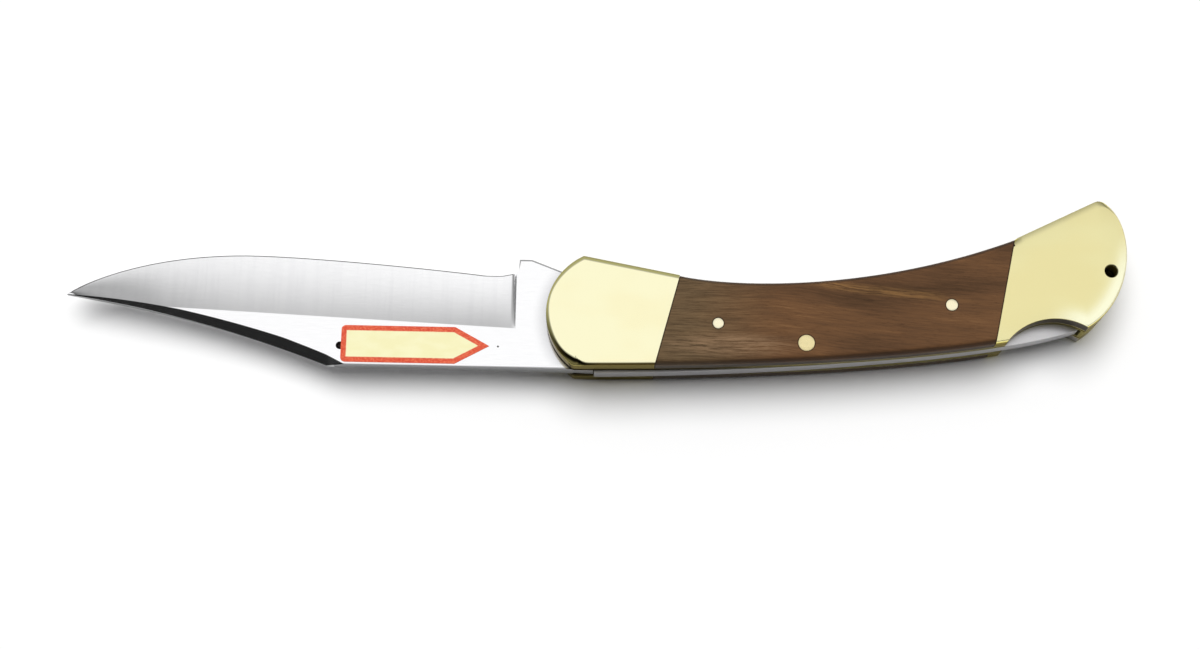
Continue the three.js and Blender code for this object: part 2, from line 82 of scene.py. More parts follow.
def linked(name, data):
    """A new object in the scene."""
    obj = bpy.data.objects.new(name, data)
    bpy.context.collection.objects.link(obj)
    return obj


def aimed(name, data, way, distance):
    """A camera or a lamp that looks at AIM from a distance along a unit vector."""
    obj = linked(name, data)
    obj.location = AIM + way * distance
    obj.rotation_mode = "QUATERNION"
    obj.rotation_quaternion = (-way).to_track_quat("-Z", "Y")
    return obj


towards = Vector((math.sin(TURN) * math.sin(TILT), -math.cos(TURN) * math.sin(TILT), math.cos(TILT)))
camera = aimed("camera", bpy.data.cameras.new("camera"), towards, DISTANCE)
camera.data.sensor_width = SENSOR
camera.data.lens = SENSOR * DISTANCE / SEEN_WIDTH
camera.data.clip_start, camera.data.clip_end = 0.05, 50
bpy.context.scene.camera = camera
bpy.context.scene.view_settings.view_transform = "Standard"
print("lens", round(camera.data.lens, 1), "mm")

# %% [markdown]
# ## Writing materials as arithmetic
# A material is a graph of nodes, but most of it is arithmetic. A small class holds one output and
# turns +, -, * and / into Math nodes, so a mask reads as a formula. Every other node comes from one
# method that takes the node's type, its settings and the values or links of its sockets.

# %% Shader arithmetic
def linear(red, green, blue):
    """Linear colour of three 0-255 values: ((c + 0.055) / 1.055) ** 2.4 above the short straight part."""
    c = np.array([red, green, blue]) / 255
    low, high = c / 12.92, ((c + 0.055) / 1.055) ** 2.4
    return (*np.where(c <= 0.04045, low, high).tolist(), 1.0)


def plug(tree, entry, value):
    """Sets a socket to a plain value, or links the wire to it."""
    if isinstance(value, Wire):
        tree.links.new(value.socket, entry)
    else:
        entry.default_value = value


class Wire:
    """One output of a node. Arithmetic on it adds Math nodes."""

    def __init__(self, tree, socket):
        self.tree, self.socket = tree, socket

    def math(self, operation, *others, clamp=False, first=None):
        """This output and the others, or a first number and this output, through one Math node."""
        node = self.tree.nodes.new("ShaderNodeMath")
        node.operation, node.use_clamp = operation, clamp
        for entry, value in zip(node.inputs, (self, *others) if first is None else (first, self)):
            plug(self.tree, entry, value)
        return Wire(self.tree, node.outputs[0])

    def __add__(self, other): return self.math("ADD", other)
    def __sub__(self, other): return self.math("SUBTRACT", other)
    def __rsub__(self, other): return self.math("SUBTRACT", first=other)
    def __mul__(self, other): return self.math("MULTIPLY", other)
    def __truediv__(self, other): return self.math("DIVIDE", other)
    def __pow__(self, other): return self.math("POWER", other)
    def __gt__(self, other): return self.math("GREATER_THAN", other)
    def __lt__(self, other): return self.math("LESS_THAN", other)
    def clamped(self): return self.math("ADD", 0.0, clamp=True)


class Finish:
    """A node tree being written, with the object's own coordinates in millimetres."""

    def __init__(self, name, world=False):
        self.owner = (bpy.data.worlds if world else bpy.data.materials).new(name)
        self.owner.use_nodes = True
        self.tree = self.owner.node_tree
        self.tree.nodes.clear()

    def node(self, kind, settings=None, inputs=None, output=0):
        """Adds a node: its settings first, then a value or a wire for each socket that is named."""
        node = self.tree.nodes.new(kind)
        for key, value in (settings or {}).items():
            if key == "stops":
                ramp = node.color_ramp.elements
                while len(ramp) < len(value):
                    ramp.new(0.5)
                for element, (place, colour) in zip(ramp, value):
                    element.position, element.color = place, colour
            else:
                setattr(node, key, value)
        for key, value in (inputs or {}).items():
            plug(self.tree, node.inputs[key], value)
        return Wire(self.tree, node.outputs[output]) if node.outputs else node

    def millimetres(self):
        """Object coordinates as one vector and as x, y, z, all in millimetres."""
        place = self.node("ShaderNodeTexCoord", output=3)
        place = self.node("ShaderNodeVectorMath", {"operation": "SCALE"}, {0: place, "Scale": 1 / MM})
        split = [self.node("ShaderNodeSeparateXYZ", inputs={0: place}, output=axis) for axis in range(3)]
        return place, *split

    def noise(self, place, stretch, detail=3.0, roughness=0.5):
        """Noise on the place, squeezed by the three numbers of stretch."""
        place = self.node("ShaderNodeVectorMath", {"operation": "MULTIPLY"}, {0: place, 1: stretch})
        entries = {"Vector": place, "Scale": 1.0, "Detail": detail, "Roughness": roughness}
        return self.node("ShaderNodeTexNoise", inputs=entries)

    def between(self, value, start, end, smooth=True):
        """0 before start and 1 after end, with a soft or straight step between."""
        kind = "SMOOTHSTEP" if smooth else "LINEAR"
        entries = {"Value": value, "From Min": start, "From Max": end}
        return self.node("ShaderNodeMapRange", {"interpolation_type": kind}, entries)

    def mix(self, share, first, second):
        """The first colour where share is 0 and the second where it is 1."""
        return self.node("ShaderNodeMix", {"data_type": "RGBA"}, {0: share, 6: first, 7: second}, 2)

    def bump(self, height, strength, distance):
        """A normal that tilts as if the surface rose by height times distance, in millimetres."""
        entries = {"Height": height, "Strength": strength, "Distance": distance * MM}
        return self.node("ShaderNodeBump", inputs=entries)

    def surface(self, colour, roughness, **entries):
        """Ends the material in one Principled shader, with the roughness held between 0 and 1."""
        inputs = {key.replace("_", " "): value for key, value in entries.items()}
        roughness = roughness.clamped() if isinstance(roughness, Wire) else roughness
        inputs.update({"Base Color": colour, "Roughness": roughness})
        shader = self.node("ShaderNodeBsdfPrincipled", inputs=inputs)
        self.node("ShaderNodeOutputMaterial", inputs={"Surface": shader})
        print(f"{self.owner.name}: {len(self.tree.nodes)} nodes")
        return self.owner


def toned(colour, *shares):
    """A colour with red, green and blue each times its share."""
    return (*(c * share for c, share in zip(colour, shares)), 1.0)


def away(x, y, centre):
    """Distance in the XY plane from a centre: sqrt((x - cx)^2 + (y - cy)^2)."""
    return ((x - float(centre[0])) ** 2 + (y - float(centre[1])) ** 2).math("SQRT")


def off(value, middle):
    """Distance of one coordinate from a value: |v - middle|."""
    return (value - middle).math("ABSOLUTE")


# %% [markdown]
# ## Light
# A polished knife looks like what it reflects. The studio has a round soft box overhead that leans
# towards +Y, so that a flat face mirrors it to the camera, and a smaller one to the right for the round
# butt. Behind them stands a grey wall that darkens to the floor. The camera's side is dark; mirrors see
# a dim wall there, but for one dark patch that the swedge reflects. A key light from +Y throws the soft
# shadow below the knife, and is left out of reflections.

# %% World
BOX_LEVEL, WALL_LEVEL, DIM_LEVEL, DARKEST = 1.08, 0.42, 0.36, 0.03
BOX_LEAN = math.radians(12)
BOX_WAY = (0.0, math.sin(BOX_LEAN), math.cos(BOX_LEAN))
SIDE_WAY, DARK_WAY = (0.42, 0.16, 0.893), (-0.42, -0.845, 0.33)

sky = Finish("studio", world=True)
way = sky.node("ShaderNodeTexCoord", output=0)
way_x, way_y, way_z = (sky.node("ShaderNodeSeparateXYZ", inputs={0: way}, output=axis) for axis in range(3))


def beyond(target, start, end):
    """0 within start degrees of a unit direction and 1 beyond end degrees; the angle is acos(a . b)."""
    angle = (way_x * target[0] + way_y * target[1] + way_z * target[2]).clamped().math("ARCCOSINE")
    return sky.between(angle, math.radians(start), math.radians(end))


soft_box = (1 - beyond(BOX_WAY, 8, 38)).math("MAXIMUM", 1 - beyond(SIDE_WAY, 8, 24))
from_floor = sky.between(way_z, 0.1, 0.6) * 0.65 + 0.35
wall = (sky.between(way_y, -0.15, 0.35) * WALL_LEVEL + DARKEST) * from_floor
behind = (1 - sky.between(way_y, -0.35, -0.05)) * beyond(DARK_WAY, 15, 26)
wall = wall + behind * sky.node("ShaderNodeLightPath", output=3) * DIM_LEVEL
glow = (soft_box * (BOX_LEVEL - wall) + wall) * sky.between(way_z, -0.02, 0.02)
backdrop = sky.node("ShaderNodeBackground", inputs={"Color": (1, 1, 1, 1), "Strength": glow})
sky.node("ShaderNodeOutputWorld", inputs={"Surface": backdrop})
bpy.context.scene.world = sky.owner
print("world nodes", len(sky.tree.nodes))

# %% Key light and floor
KEY_AZIMUTH, KEY_ELEVATION, KEY_SPREAD = map(math.radians, (92, 72, 44))
KEY_STRENGTH = 2.35
FLOOR_HALF, FLOOR_TONE = 8, 0.97

across = math.cos(KEY_ELEVATION)
way_out = Vector((math.cos(KEY_AZIMUTH) * across, math.sin(KEY_AZIMUTH) * across, math.sin(KEY_ELEVATION)))
lamp = bpy.data.lights.new("key_light", "SUN")
lamp.angle, lamp.energy = KEY_SPREAD, KEY_STRENGTH
key_light = aimed("key_light", lamp, way_out, 1)
key_light.visible_glossy = False

floor_mesh = bpy.data.meshes.new("floor")
corners = [(x * FLOOR_HALF, y * FLOOR_HALF, 0) for x, y in ((-1, -1), (1, -1), (1, 1), (-1, 1))]
floor_mesh.from_pydata(corners, [], [(0, 1, 2, 3)])
floor = linked("floor", floor_mesh)
floor_tint = (FLOOR_TONE, FLOOR_TONE, FLOOR_TONE, 1)
floor_mesh.materials.append(Finish("white_floor").surface(floor_tint, 0.9, Specular_IOR_Level=0.0))
floor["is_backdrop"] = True

# %% [markdown]
# ## Curves of the knife
# The outlines are the same curves as the solids have, in millimetres: +X to the butt, +Y to the edge
# and belly, Z up from the resting side. They are sampled finely here, because the light that runs
# along a polished edge shows each corner.


# %% Curve helpers
def bezier(start, start_pull, end_pull, end, steps=80):
    """(1-t)^3 start + 3(1-t)^2 t pull + 3(1-t) t^2 pull + t^3 end, for t from 0 to 1."""
    t = np.linspace(0, 1, steps + 1)[:, None]
    start, start_pull, end_pull, end = map(np.asarray, (start, start_pull, end_pull, end))
    pulls = 3 * (1 - t) ** 2 * t * start_pull + 3 * (1 - t) * t**2 * end_pull
    return (1 - t) ** 3 * start + pulls + t**3 * end


def arc(centre, radius, start, end, steps):
    """Points centre + radius (cos a, sin a) for angles from start to end, in degrees."""
    a = np.radians(np.linspace(start, end, steps + 1))
    return np.asarray(centre) + radius * np.stack([np.cos(a), np.sin(a)], 1)


def angle_of(vector):
    """Direction of a vector in degrees, from +X towards +Y."""
    return math.degrees(math.atan2(vector[1], vector[0]))


def direction(degrees):
    """Unit vector (cos a, sin a)."""
    return np.array([math.cos(math.radians(degrees)), math.sin(math.radians(degrees))])


def even(points, spacing=0.8):
    """The same line with points at equal steps along it."""
    points = np.asarray(points)
    along = np.concatenate([[0], np.cumsum(np.linalg.norm(np.diff(points, axis=0), axis=1))])
    steps = np.linspace(0, along[-1], max(int(round(along[-1] / spacing)), 1) + 1)
    return np.stack([np.interp(steps, along, points[:, 0]), np.interp(steps, along, points[:, 1])], 1)


def part_of(line, start_x, end_x, spacing=0.6):
    """The stretch of a left-to-right line between two x values."""
    x = np.linspace(start_x, end_x, max(int(round((end_x - start_x) / spacing)), 1) + 1)
    return np.stack([x, np.interp(x, line[:, 0], line[:, 1])], 1)


# %% Handle outline
REACH, TOP_Z = 115.7, 14.8
COVER, LINER, STEEL = 3.9, 1.3, 4.0
FRONT_SEAM, FRONT_LEAN, REAR_SEAM, REAR_LEAN, SEAM_GAP = 17.94, 14.6, 88.48, 11.0, 0.04
FRONT_CENTRE, FRONT_RADIUS, FRONT_TOP_X = np.array([5.5, -1.0]), 14.05, -0.7
NOTCH, NOTCH_RADIUS, HORN_ANGLE = np.array([REACH - 15.3, -13.56]), 13.26, 60
LANYARD, LANYARD_RADIUS = np.array([REACH - 3.45, 10.4]), 1.4
BUTT_ROUND, BUTT_TOP_LEAN, BUTT_SIDE_LEAN = 1.4, 25.5, -33.4

back_corner = np.array([-2.3, -12.5])
back_end = np.array([REACH - 7.6, -0.62])
back_line = bezier(back_corner, back_corner + [54.15, 0.74], back_end - [14.33, 6.3], back_end, 400)
front_rise = math.sqrt(FRONT_RADIUS**2 - (FRONT_CENTRE[0] - FRONT_TOP_X) ** 2)
front_top = np.array([FRONT_TOP_X, FRONT_CENTRE[1] + front_rise])
front_angles = [angle_of(corner - FRONT_CENTRE) % 360 for corner in (front_top, back_corner)]
front_arc = arc(FRONT_CENTRE, FRONT_RADIUS, *front_angles, 60)
front_arc[-1] = back_corner


def seam_x(y, seam, lean):
    """Where a seam that crosses Y = 0 at seam and leans by lean degrees is at height y."""
    return seam + math.tan(math.radians(lean)) * y


belly_front = np.array([seam_x(7.75, FRONT_SEAM, FRONT_LEAN), 7.75])
shoulder = np.array([seam_x(17.15, REAR_SEAM, REAR_LEAN), 17.15])
belly_line = bezier(belly_front, belly_front + [11.2, -2.3], shoulder - [31, 12.2], shoulder, 400)
horn = NOTCH + NOTCH_RADIUS * direction(HORN_ANGLE)
butt_top = np.array([REACH - 6.6, 25.75])
butt_turn = butt_top + BUTT_ROUND * direction(BUTT_TOP_LEAN)
side_start = butt_turn + BUTT_ROUND * direction(BUTT_SIDE_LEAN)
butt_pulls = [(corner + 2 * butt_turn) / 3 for corner in (butt_top, side_start)]
butt_corner = bezier(butt_top, *butt_pulls, side_start, 10)
butt_side = bezier(side_start, side_start + [6.66, -4.4], horn + [10.7, 6.5], horn, 200)
notch_front = back_line[np.argmax(np.linalg.norm(back_line - NOTCH, axis=1) < NOTCH_RADIUS)]
notch_end = angle_of(notch_front - NOTCH)
print("notch front", notch_front.round(2), "horn", horn.round(2))


# %% [markdown]
# ## One shell for each piece
# A piece is a set of surfaces on grids that share their border points. They are laid down one after
# the other, welded where they meet, and turned to face outwards. Flat faces with holes are filled by
# a constrained triangulation, which keeps the border points as they are. A Boolean modifier could cut
# the same forms, but it leaves long thin triangles that show on polished metal.


# %% Shell
WELD, SLIVER = 2e-6, 1e-7


class Shell:
    """Surfaces in millimetres that are welded into one closed mesh."""

    def __init__(self):
        self.points, self.faces, self.count = [], [], 0

    def add(self, points, faces):
        """Takes points and the faces between them, numbered from 0."""
        self.points.append(points)
        self.faces.extend((np.asarray(faces) + self.count).tolist())
        self.count += len(points)

    def grid(self, points, closed=False):
        """Quads on an array of rows by columns by 3; closed joins the last column to the first."""
        rows, columns = points.shape[:2]
        index = np.arange(rows * columns).reshape(rows, columns)
        if closed:
            index = np.hstack([index, index[:, :1]])
        corners = [index[:-1, :-1], index[:-1, 1:], index[1:, 1:], index[1:, :-1]]
        self.add(points.reshape(-1, 3), np.stack(corners, -1).reshape(-1, 4))

    def fill(self, height, outer, holes=(), extra=()):
        """Triangles between closed lines and through extra points, raised to height(points)."""
        loops = [outer, *holes]
        starts = np.cumsum([0] + [len(loop) for loop in loops])
        points = np.concatenate([*loops, *extra])
        edges = np.concatenate([
            np.stack([np.arange(len(loop)), np.roll(np.arange(len(loop)), -1)], 1) + start
            for loop, start in zip(loops, starts)
        ])
        found = delaunay_2d_cdt(points.tolist(), edges.tolist(), [], 1, 1e-5)
        points, faces = np.array(found[0]), np.array(found[2])
        middle, keep = points[faces].mean(1), np.ones(len(faces), bool)
        for hole in holes:
            keep &= ~inside_of(middle, hole)
        self.add(at(points, height(points)), faces[keep])

    def build(self, name, sharp=30.0, flip=False):
        """The welded mesh as an object, mirrored in the knife's middle plane where flip is set."""
        points = np.concatenate(self.points)
        if flip:
            points = points * [1, 1, -1] + [0, 0, TOP_Z]
        mesh = bpy.data.meshes.new(name)
        mesh.from_pydata((points * MM).tolist(), [], self.faces)
        work = bmesh.new()
        work.from_mesh(mesh)
        bmesh.ops.remove_doubles(work, verts=work.verts, dist=WELD)
        bmesh.ops.dissolve_degenerate(work, edges=work.edges, dist=SLIVER)
        bmesh.ops.recalc_face_normals(work, faces=work.faces)
        loose = sum(1 for edge in work.edges if len(edge.link_faces) != 2)
        work.to_mesh(mesh)
        work.free()
        mesh.shade_smooth()
        mesh.set_sharp_from_angle(angle=math.radians(sharp))
        print(f"{name}: {len(mesh.polygons)} faces, {loose} open edges")
        return linked(name, mesh)


def inside_of(points, loop):
    """True for points inside a closed line: a ray to the right crosses it an odd number of times."""
    x, y = points[:, :1], points[:, 1:2]
    ax, ay = loop[:, 0], loop[:, 1]
    bx, by = np.roll(ax, -1), np.roll(ay, -1)
    crosses = (ay > y) != (by > y)
    slope = np.where(by == ay, 1.0, by - ay)
    return (crosses & (x < ax + (y - ay) * (bx - ax) / slope)).sum(1) % 2 == 1


def inset(loop, moves, distance):
    """Each edge of a counter-clockwise line moved in by distance times its entry in moves."""
    along = np.roll(loop, -1, 0) - loop
    normal = np.stack([-along[:, 1], along[:, 0]], 1) / np.linalg.norm(along, axis=1)[:, None]
    before, d, e = np.roll(normal, 1, 0), np.roll(moves, 1) * distance, moves * distance
    c = (before * normal).sum(1)
    near = c > 0.9
    spread = np.where(near, 1.0, 1 - c**2)
    sharp = ((d - e * c) / spread)[:, None] * before + ((e - d * c) / spread)[:, None] * normal
    return loop + np.where(near[:, None], (before + normal) * ((d + e) / 2 / (1 + c))[:, None], sharp)


def round_trip(parts):
    """Joins (line, moves or not) parts into one closed line and its edges' moves."""
    loop = np.concatenate([line[:-1] for line, _ in parts])
    moves = np.concatenate([np.full(len(line) - 1, float(rounded)) for line, rounded in parts])
    return loop, moves


def ring(centre, radius, steps=48):
    """A closed circle."""
    return arc(centre, radius, 0, 360, steps)[:-1]


def flat(z):
    """A height function that gives z everywhere."""
    return lambda points: np.full(len(points), z)


def at(loop, z):
    """A line in the XY plane raised to z, one value or one for each point."""
    return np.column_stack([loop, np.full(len(loop), z)])


# %% [markdown]
# ## Covers and liners
# Each cover is a slab whose outer edge follows a profile: how far the outline has moved in, and how
# far that place lies below the top. A round moves in by r (1 - cos a) while it rises by r sin a, and the
# front bolster adds a crisp chamfer. The seams stay square. The rear bolster has a slight crown, a
# function of the distance from the outline. Bevel modifiers would give every edge the same width, but
# here the hand that filed the edge took more in some places than in others.


# %% Edge profile
def round_edge(radius, turn, chamfer=(0.0, 0.0)):
    """Profile of a round through turn degrees, then a straight chamfer: (moved in, below the top)."""
    a = np.radians(np.linspace(0, turn, 13))
    below = radius * (math.sin(a[-1]) - np.sin(a)) + chamfer[1]
    profile = np.stack([radius * (1 - np.cos(a)), below], 1)
    return np.vstack([profile, profile[-1] + [chamfer[0], -chamfer[1]]]) if chamfer[1] else profile


# %% Slab
CROWN, SOFT_FALL, HOLE_CHAMFER, BLIND_WALL = 0.22, 0.17, 0.12, 0.4
BORDER, CROWN_STEP, CROWN_CLEAR = 0.2, 0.6, 0.35


def nearest(points, line):
    """Distance from each point to the nearest point of a line."""
    return np.sqrt(((points[:, None] - line[None]) ** 2).sum(2)).min(1)


def crown_points(last, holes):
    """A square net of points inside a closed line, clear of it and of the holes."""
    (left, bottom), (right, top) = last.min(0), last.max(0)
    x, y = np.meshgrid(np.arange(left, right, CROWN_STEP), np.arange(bottom, top, CROWN_STEP))
    net = np.stack([x.ravel(), y.ravel()], 1)
    clear = nearest(net, last) > CROWN_CLEAR
    for centre, radius in holes:
        clear &= np.linalg.norm(net - centre, axis=1) > radius + CROWN_STEP
    return net[clear & inside_of(net, last)]


def slab(name, loop, moves, low, high, profile, holes=(), blind=(), chamfered=(), flip=False, soft=0.0,
         deep=False, shallow=0.0):
    """A plate from low to high whose top edge follows the profile, times each edge's entry in moves.
    With deep set, the profile's heights grow with moves too. soft is the reach of a crown that falls by
    CROWN (1 - gap / soft)^2 towards the outline. Where shallow is 1, the edge falls as SOFT_FALL
    (1 - d)^2 instead. Holes go through, blind ones stop below the top, chamfered ones open at it."""
    edge, moved_in, heights = loop[moves > 0], profile[:, 0], high - profile[:, 1]
    depth = np.maximum(moves, np.roll(moves, 1)) if deep else 1.0

    def crown(points):
        return high - CROWN * np.clip(1 - nearest(points, edge) / soft, 0, 1) ** 2

    top = crown if soft else flat(high)
    rings = [at(loop, low)]
    for d, z in zip(moved_in, heights):
        line = inset(loop, moves, d)
        flat_fall = SOFT_FALL * (1 - d / moved_in[-1]) ** 2
        rings.append(at(line, top(line) - (high - z) * depth * (1 - shallow) - flat_fall * shallow))
    last = inset(loop, moves, moved_in[-1] + BORDER)
    rings.append(at(last, top(last)))
    shell = Shell()
    shell.grid(np.stack(rings), closed=True)

    through, narrow, sunk = ([ring(*hole) for hole in group] for group in (holes, chamfered, blind))
    wide = [ring(centre, radius + HOLE_CHAMFER) for centre, radius in chamfered]
    shell.fill(top, last, [*through, *wide], [crown_points(last, [*holes, *chamfered])] if soft else ())
    shell.fill(flat(low), loop, [*through, *narrow, *sunk])
    for line in through:
        shell.grid(np.stack([at(line, top(line)), at(line, low)]), closed=True)
    for outer, inner in zip(wide, narrow):
        throat = at(inner, top(inner) - HOLE_CHAMFER)
        shell.grid(np.stack([at(outer, top(outer)), throat, at(inner, low)]), closed=True)
    for line in sunk:
        shell.grid(np.stack([at(line, high - BLIND_WALL), at(line, low)]), closed=True)
        shell.fill(flat(high - BLIND_WALL), line)
    return shell.build(name, flip=flip)


# %% Where pieces meet
def seam_on(line, seam, lean, shift):
    """The x where a left-to-right line meets a seam moved by shift."""
    gap = line[:, 0] - seam_x(line[:, 1], seam, lean) - shift
    return float(np.interp(0, gap, line[:, 0]))


half_gap = SEAM_GAP / 2
shifts = (-half_gap, half_gap)
front_cut, wood_start = (seam_on(back_line, FRONT_SEAM, FRONT_LEAN, shift) for shift in shifts)
wood_end, rear_cut = (seam_on(back_line, REAR_SEAM, REAR_LEAN, shift) for shift in shifts)
notch_arc = even(arc(NOTCH, NOTCH_RADIUS, notch_end, HORN_ANGLE, 200), 0.4)
notch_arc[0], notch_arc[-1] = notch_front, horn
butt_run = np.concatenate([even(butt_side, 0.4)[::-1], butt_corner[::-1][1:]])
butt_run = np.minimum(butt_run, np.array(cad_high)[:2] / MM)
print("seams on the back", round(front_cut, 2), round(rear_cut, 2))


def seam_between(start, end, ends=2.6, spacing=0.8):
    """A straight line with long first and last steps, which leave room for the moved-in corners."""
    length = np.linalg.norm(end - start)
    inner = np.linspace(ends, length - ends, int((length - 2 * ends) / spacing) + 1)
    return start + (end - start) * (np.concatenate([[0], inner, [length]]) / length)[:, None]


def hump(points, centre, reach):
    """exp(-(distance / reach)^2): 1 at the centre, fading over the reach."""
    return np.exp(-((np.linalg.norm(points - centre, axis=1) / reach) ** 2))


# %% [markdown]
# ### Outlines of the covers
# Bolsters and wood share the handle's outline, parted by seams a hair wide. Each stretch of it has its
# entry in moves: 0 along a seam, 1 for a full edge round, and less where the real edge is crisper.

# %% Front bolster and wood outlines
step = np.array([half_gap, 0])
back_front = part_of(back_line, back_corner[0], front_cut)
front_points, front_moves = round_trip([
    (back_front, 1), (seam_between(back_front[-1], belly_front - step), 0),
    (even([belly_front - step, front_top]), 1), (front_arc, 1),
])
at_corner = 0.8 * hump(front_points, back_corner, 3.2)
at_left = 0.45 * hump(front_points, np.array([-8.5, 3.0]), 6.0)
on_back = np.arange(len(front_points)) < len(back_front) - 1
less_on_back = (0.4 + at_corner) * on_back * (1 - hump(front_points, back_corner, 1.2))
front_moves = front_moves * (1 + at_corner - at_left - less_on_back)
back_wood = part_of(back_line, wood_start, wood_end)
belly_wood = even(belly_line, 0.6)[::-1]
belly_wood[0], belly_wood[-1] = shoulder - step, belly_front + step
wood_loop = round_trip([
    (back_wood, 1), (seam_between(back_wood[-1], belly_wood[0]), 0), (belly_wood, 1),
    (seam_between(belly_wood[-1], back_wood[0]), 0),
])
print("points round bolster and wood", len(front_points), len(wood_loop[0]))

# %% Rear bolster and liner outlines
ON_BACK, ON_NOTCH, ON_BUTT, ON_TOP = 0.5, 0.15, 0.45, 1.8
back_rear = part_of(back_line, rear_cut, notch_front[0])
rear_points, rear_moves = round_trip([
    (back_rear, ON_BACK), (notch_arc, ON_NOTCH), (butt_run, ON_BUTT),
    (even([butt_top, shoulder + step]), ON_TOP), (seam_between(shoulder + step, back_rear[0]), 0),
])
near_top = hump(rear_points, butt_top, 3.0)
rear_shallow = np.where(rear_moves == ON_TOP, 1.0, np.where(rear_moves == ON_BUTT, near_top, 0.0))
rear_moves = np.where(rear_moves == ON_BUTT, ON_BUTT + (ON_TOP - ON_BUTT) * near_top, rear_moves)
whole_loop = round_trip([
    (part_of(back_line, back_corner[0], notch_front[0]), 1), (notch_arc, 1), (butt_run, 1),
    (even([butt_top, shoulder]), 1), (even(belly_line, 0.6)[::-1], 1),
    (even([belly_front, front_top]), 1), (front_arc, 1),
])
print("points round bolster and liner", len(rear_points), len(whole_loop[0]))

# %% Pins
PIVOT, ROCKER = (np.array([0.0, 0.0]), 2.5), (np.array([46.98, -6.74]), 1.73)
FRONT_PIN, REAR_PIN = (np.array([28.2, -2.8]), 1.15), (np.array([78.0, 2.2]), 1.25)
BUTT_PINS = [(np.array([106.095, 9.298]), 1.2), (np.array([109.95, 3.6]), 1.2)]
PIN_GAP = 0.03


def hole_for(*pins):
    """The pins' holes, a hair wider than the pins."""
    return [(centre, radius + PIN_GAP) for centre, radius in pins]


# %% Make the covers and liners
CROWN_REACH = 6.0
base, lanyard_hole = TOP_Z - COVER, [(LANYARD, LANYARD_RADIUS)]
made = {}
for side, flip in (("upper", False), ("lower", True)):
    made[f"front_bolster_{side}"] = slab(
        f"bolster_front_{side}", front_points, front_moves, base, TOP_Z,
        round_edge(0.2, 64, (0.78, 0.36)), blind=hole_for(PIVOT), flip=flip, deep=True)
    made[f"wood_scale_{side}"] = slab(
        f"scale_{side}", *wood_loop, base, TOP_Z, round_edge(1.5, 80),
        holes=hole_for(FRONT_PIN, ROCKER, REAR_PIN), flip=flip)
    made[f"rear_bolster_{side}"] = slab(
        f"bolster_rear_{side}", rear_points, rear_moves, base, TOP_Z, round_edge(1.2, 75),
        blind=hole_for(*BUTT_PINS), chamfered=lanyard_hole, flip=flip, soft=CROWN_REACH,
        shallow=rear_shallow)
    made[f"liner_{side}"] = slab(
        f"plate_{side}", *whole_loop, base - LINER, base, round_edge(0.04, 90),
        holes=hole_for(PIVOT, FRONT_PIN, ROCKER, REAR_PIN, *BUTT_PINS) + lanyard_hole, flip=flip)


# %% [markdown]
# ## Pins
# A pin is turned: a profile goes round its axis. The ends are ground flush with the covers and keep
# a hair of crown, which catches the light as a small bright disc in the dark wood.


# %% Turn a pin
def turned(name, pin, low, high):
    """Profile (r, z) round the pin's axis: (r cos a, r sin a, z). An end flush with a side is crowned."""
    centre, radius = pin
    crown = np.array([(0.0, 0.0), (0.5, 0.002), (0.95, 0.008), (1.0, 0.03)])
    square = np.array([(0.0, 0.0), (1.0, 0.0)])
    upper, lower = (crown if flush else square for flush in (high == TOP_Z, low == 0))
    r = np.concatenate([upper[:, 0], lower[::-1, 0]]) * radius
    z = np.concatenate([high - upper[:, 1], low + lower[::-1, 1]])
    a = np.radians(np.arange(0, 360, 7.5))
    points = np.stack([r[:, None] * np.cos(a), r[:, None] * np.sin(a), z[:, None] + 0 * a], -1)
    shell = Shell()
    shell.grid(points + [*centre, 0], closed=True)
    return shell.build(name)


# %% Make the pins
COVERED = 0.45
made["rocker_pin"] = turned("pin_rocker", ROCKER, 0, TOP_Z)
made["pivot_pin"] = turned("pin_pivot", PIVOT, COVERED, TOP_Z - COVERED)
for end, pin in zip(("front", "rear"), BUTT_PINS):
    made[f"{end}_butt_pin"] = turned(f"pin_butt_{end}", pin, COVERED, TOP_Z - COVERED)
for side, low, high in (("upper", TOP_Z - COVER - LINER, TOP_Z), ("lower", 0, COVER + LINER)):
    for end, pin in (("front", FRONT_PIN), ("rear", REAR_PIN)):
        made[f"{end}_scale_pin_{side}"] = turned(f"pin_{end}_{side}", pin, low, high)

# %% [markdown]
# ## Blade
# The blade starts as flat stock. A hollow is ground up to a straight line, a dark facet, the swedge,
# is cut along the clip, and the tang stays full. Each of these is a grid between two lines on the
# blade, so that the ridges between them stay crisp, as on the real grind.

# %% Blade lines
BLADE_REACH, SPINE, TANG_DEPTH, PLUNGE_X, PLUNGE_RUN = 112.75, -12.12, -12.35, -15.2, 1.2
BLADE_LOW, BLADE_HIGH = 5.4, 9.4
MID, FLAT = (BLADE_LOW + BLADE_HIGH) / 2, STEEL / 2
CLIP_RADIUS, GRIND_Y, GRIND_LEAN, HEEL_Y = 265, -3.5, math.radians(2.5), 9.3
tip, clip_corner = np.array([-BLADE_REACH, 2.5]), np.array([-55.6, SPINE])
peak, heel = np.array([-72.95, 12.1]), np.array([-22.1, 8.6])
edge_line = np.vstack([
    bezier(tip, tip + [4, 3.24], peak - [21.4, 0], peak, 200),
    bezier(peak, peak + [15.34, -0.07], heel + [-7.46, 0.87], heel, 120)[1:],
    [[-18.5, 8.6], [PLUNGE_X, HEEL_Y]],
])
chord = clip_corner - tip
chord_length = np.linalg.norm(chord)
to_centre = math.sqrt(CLIP_RADIUS**2 - (chord_length / 2) ** 2)
clip_centre = (tip + clip_corner) / 2 + np.array([chord[1], -chord[0]]) / chord_length * to_centre
clip_angles = [angle_of(end - clip_centre) for end in (tip, clip_corner)]
TANG_FRONT = 1.7
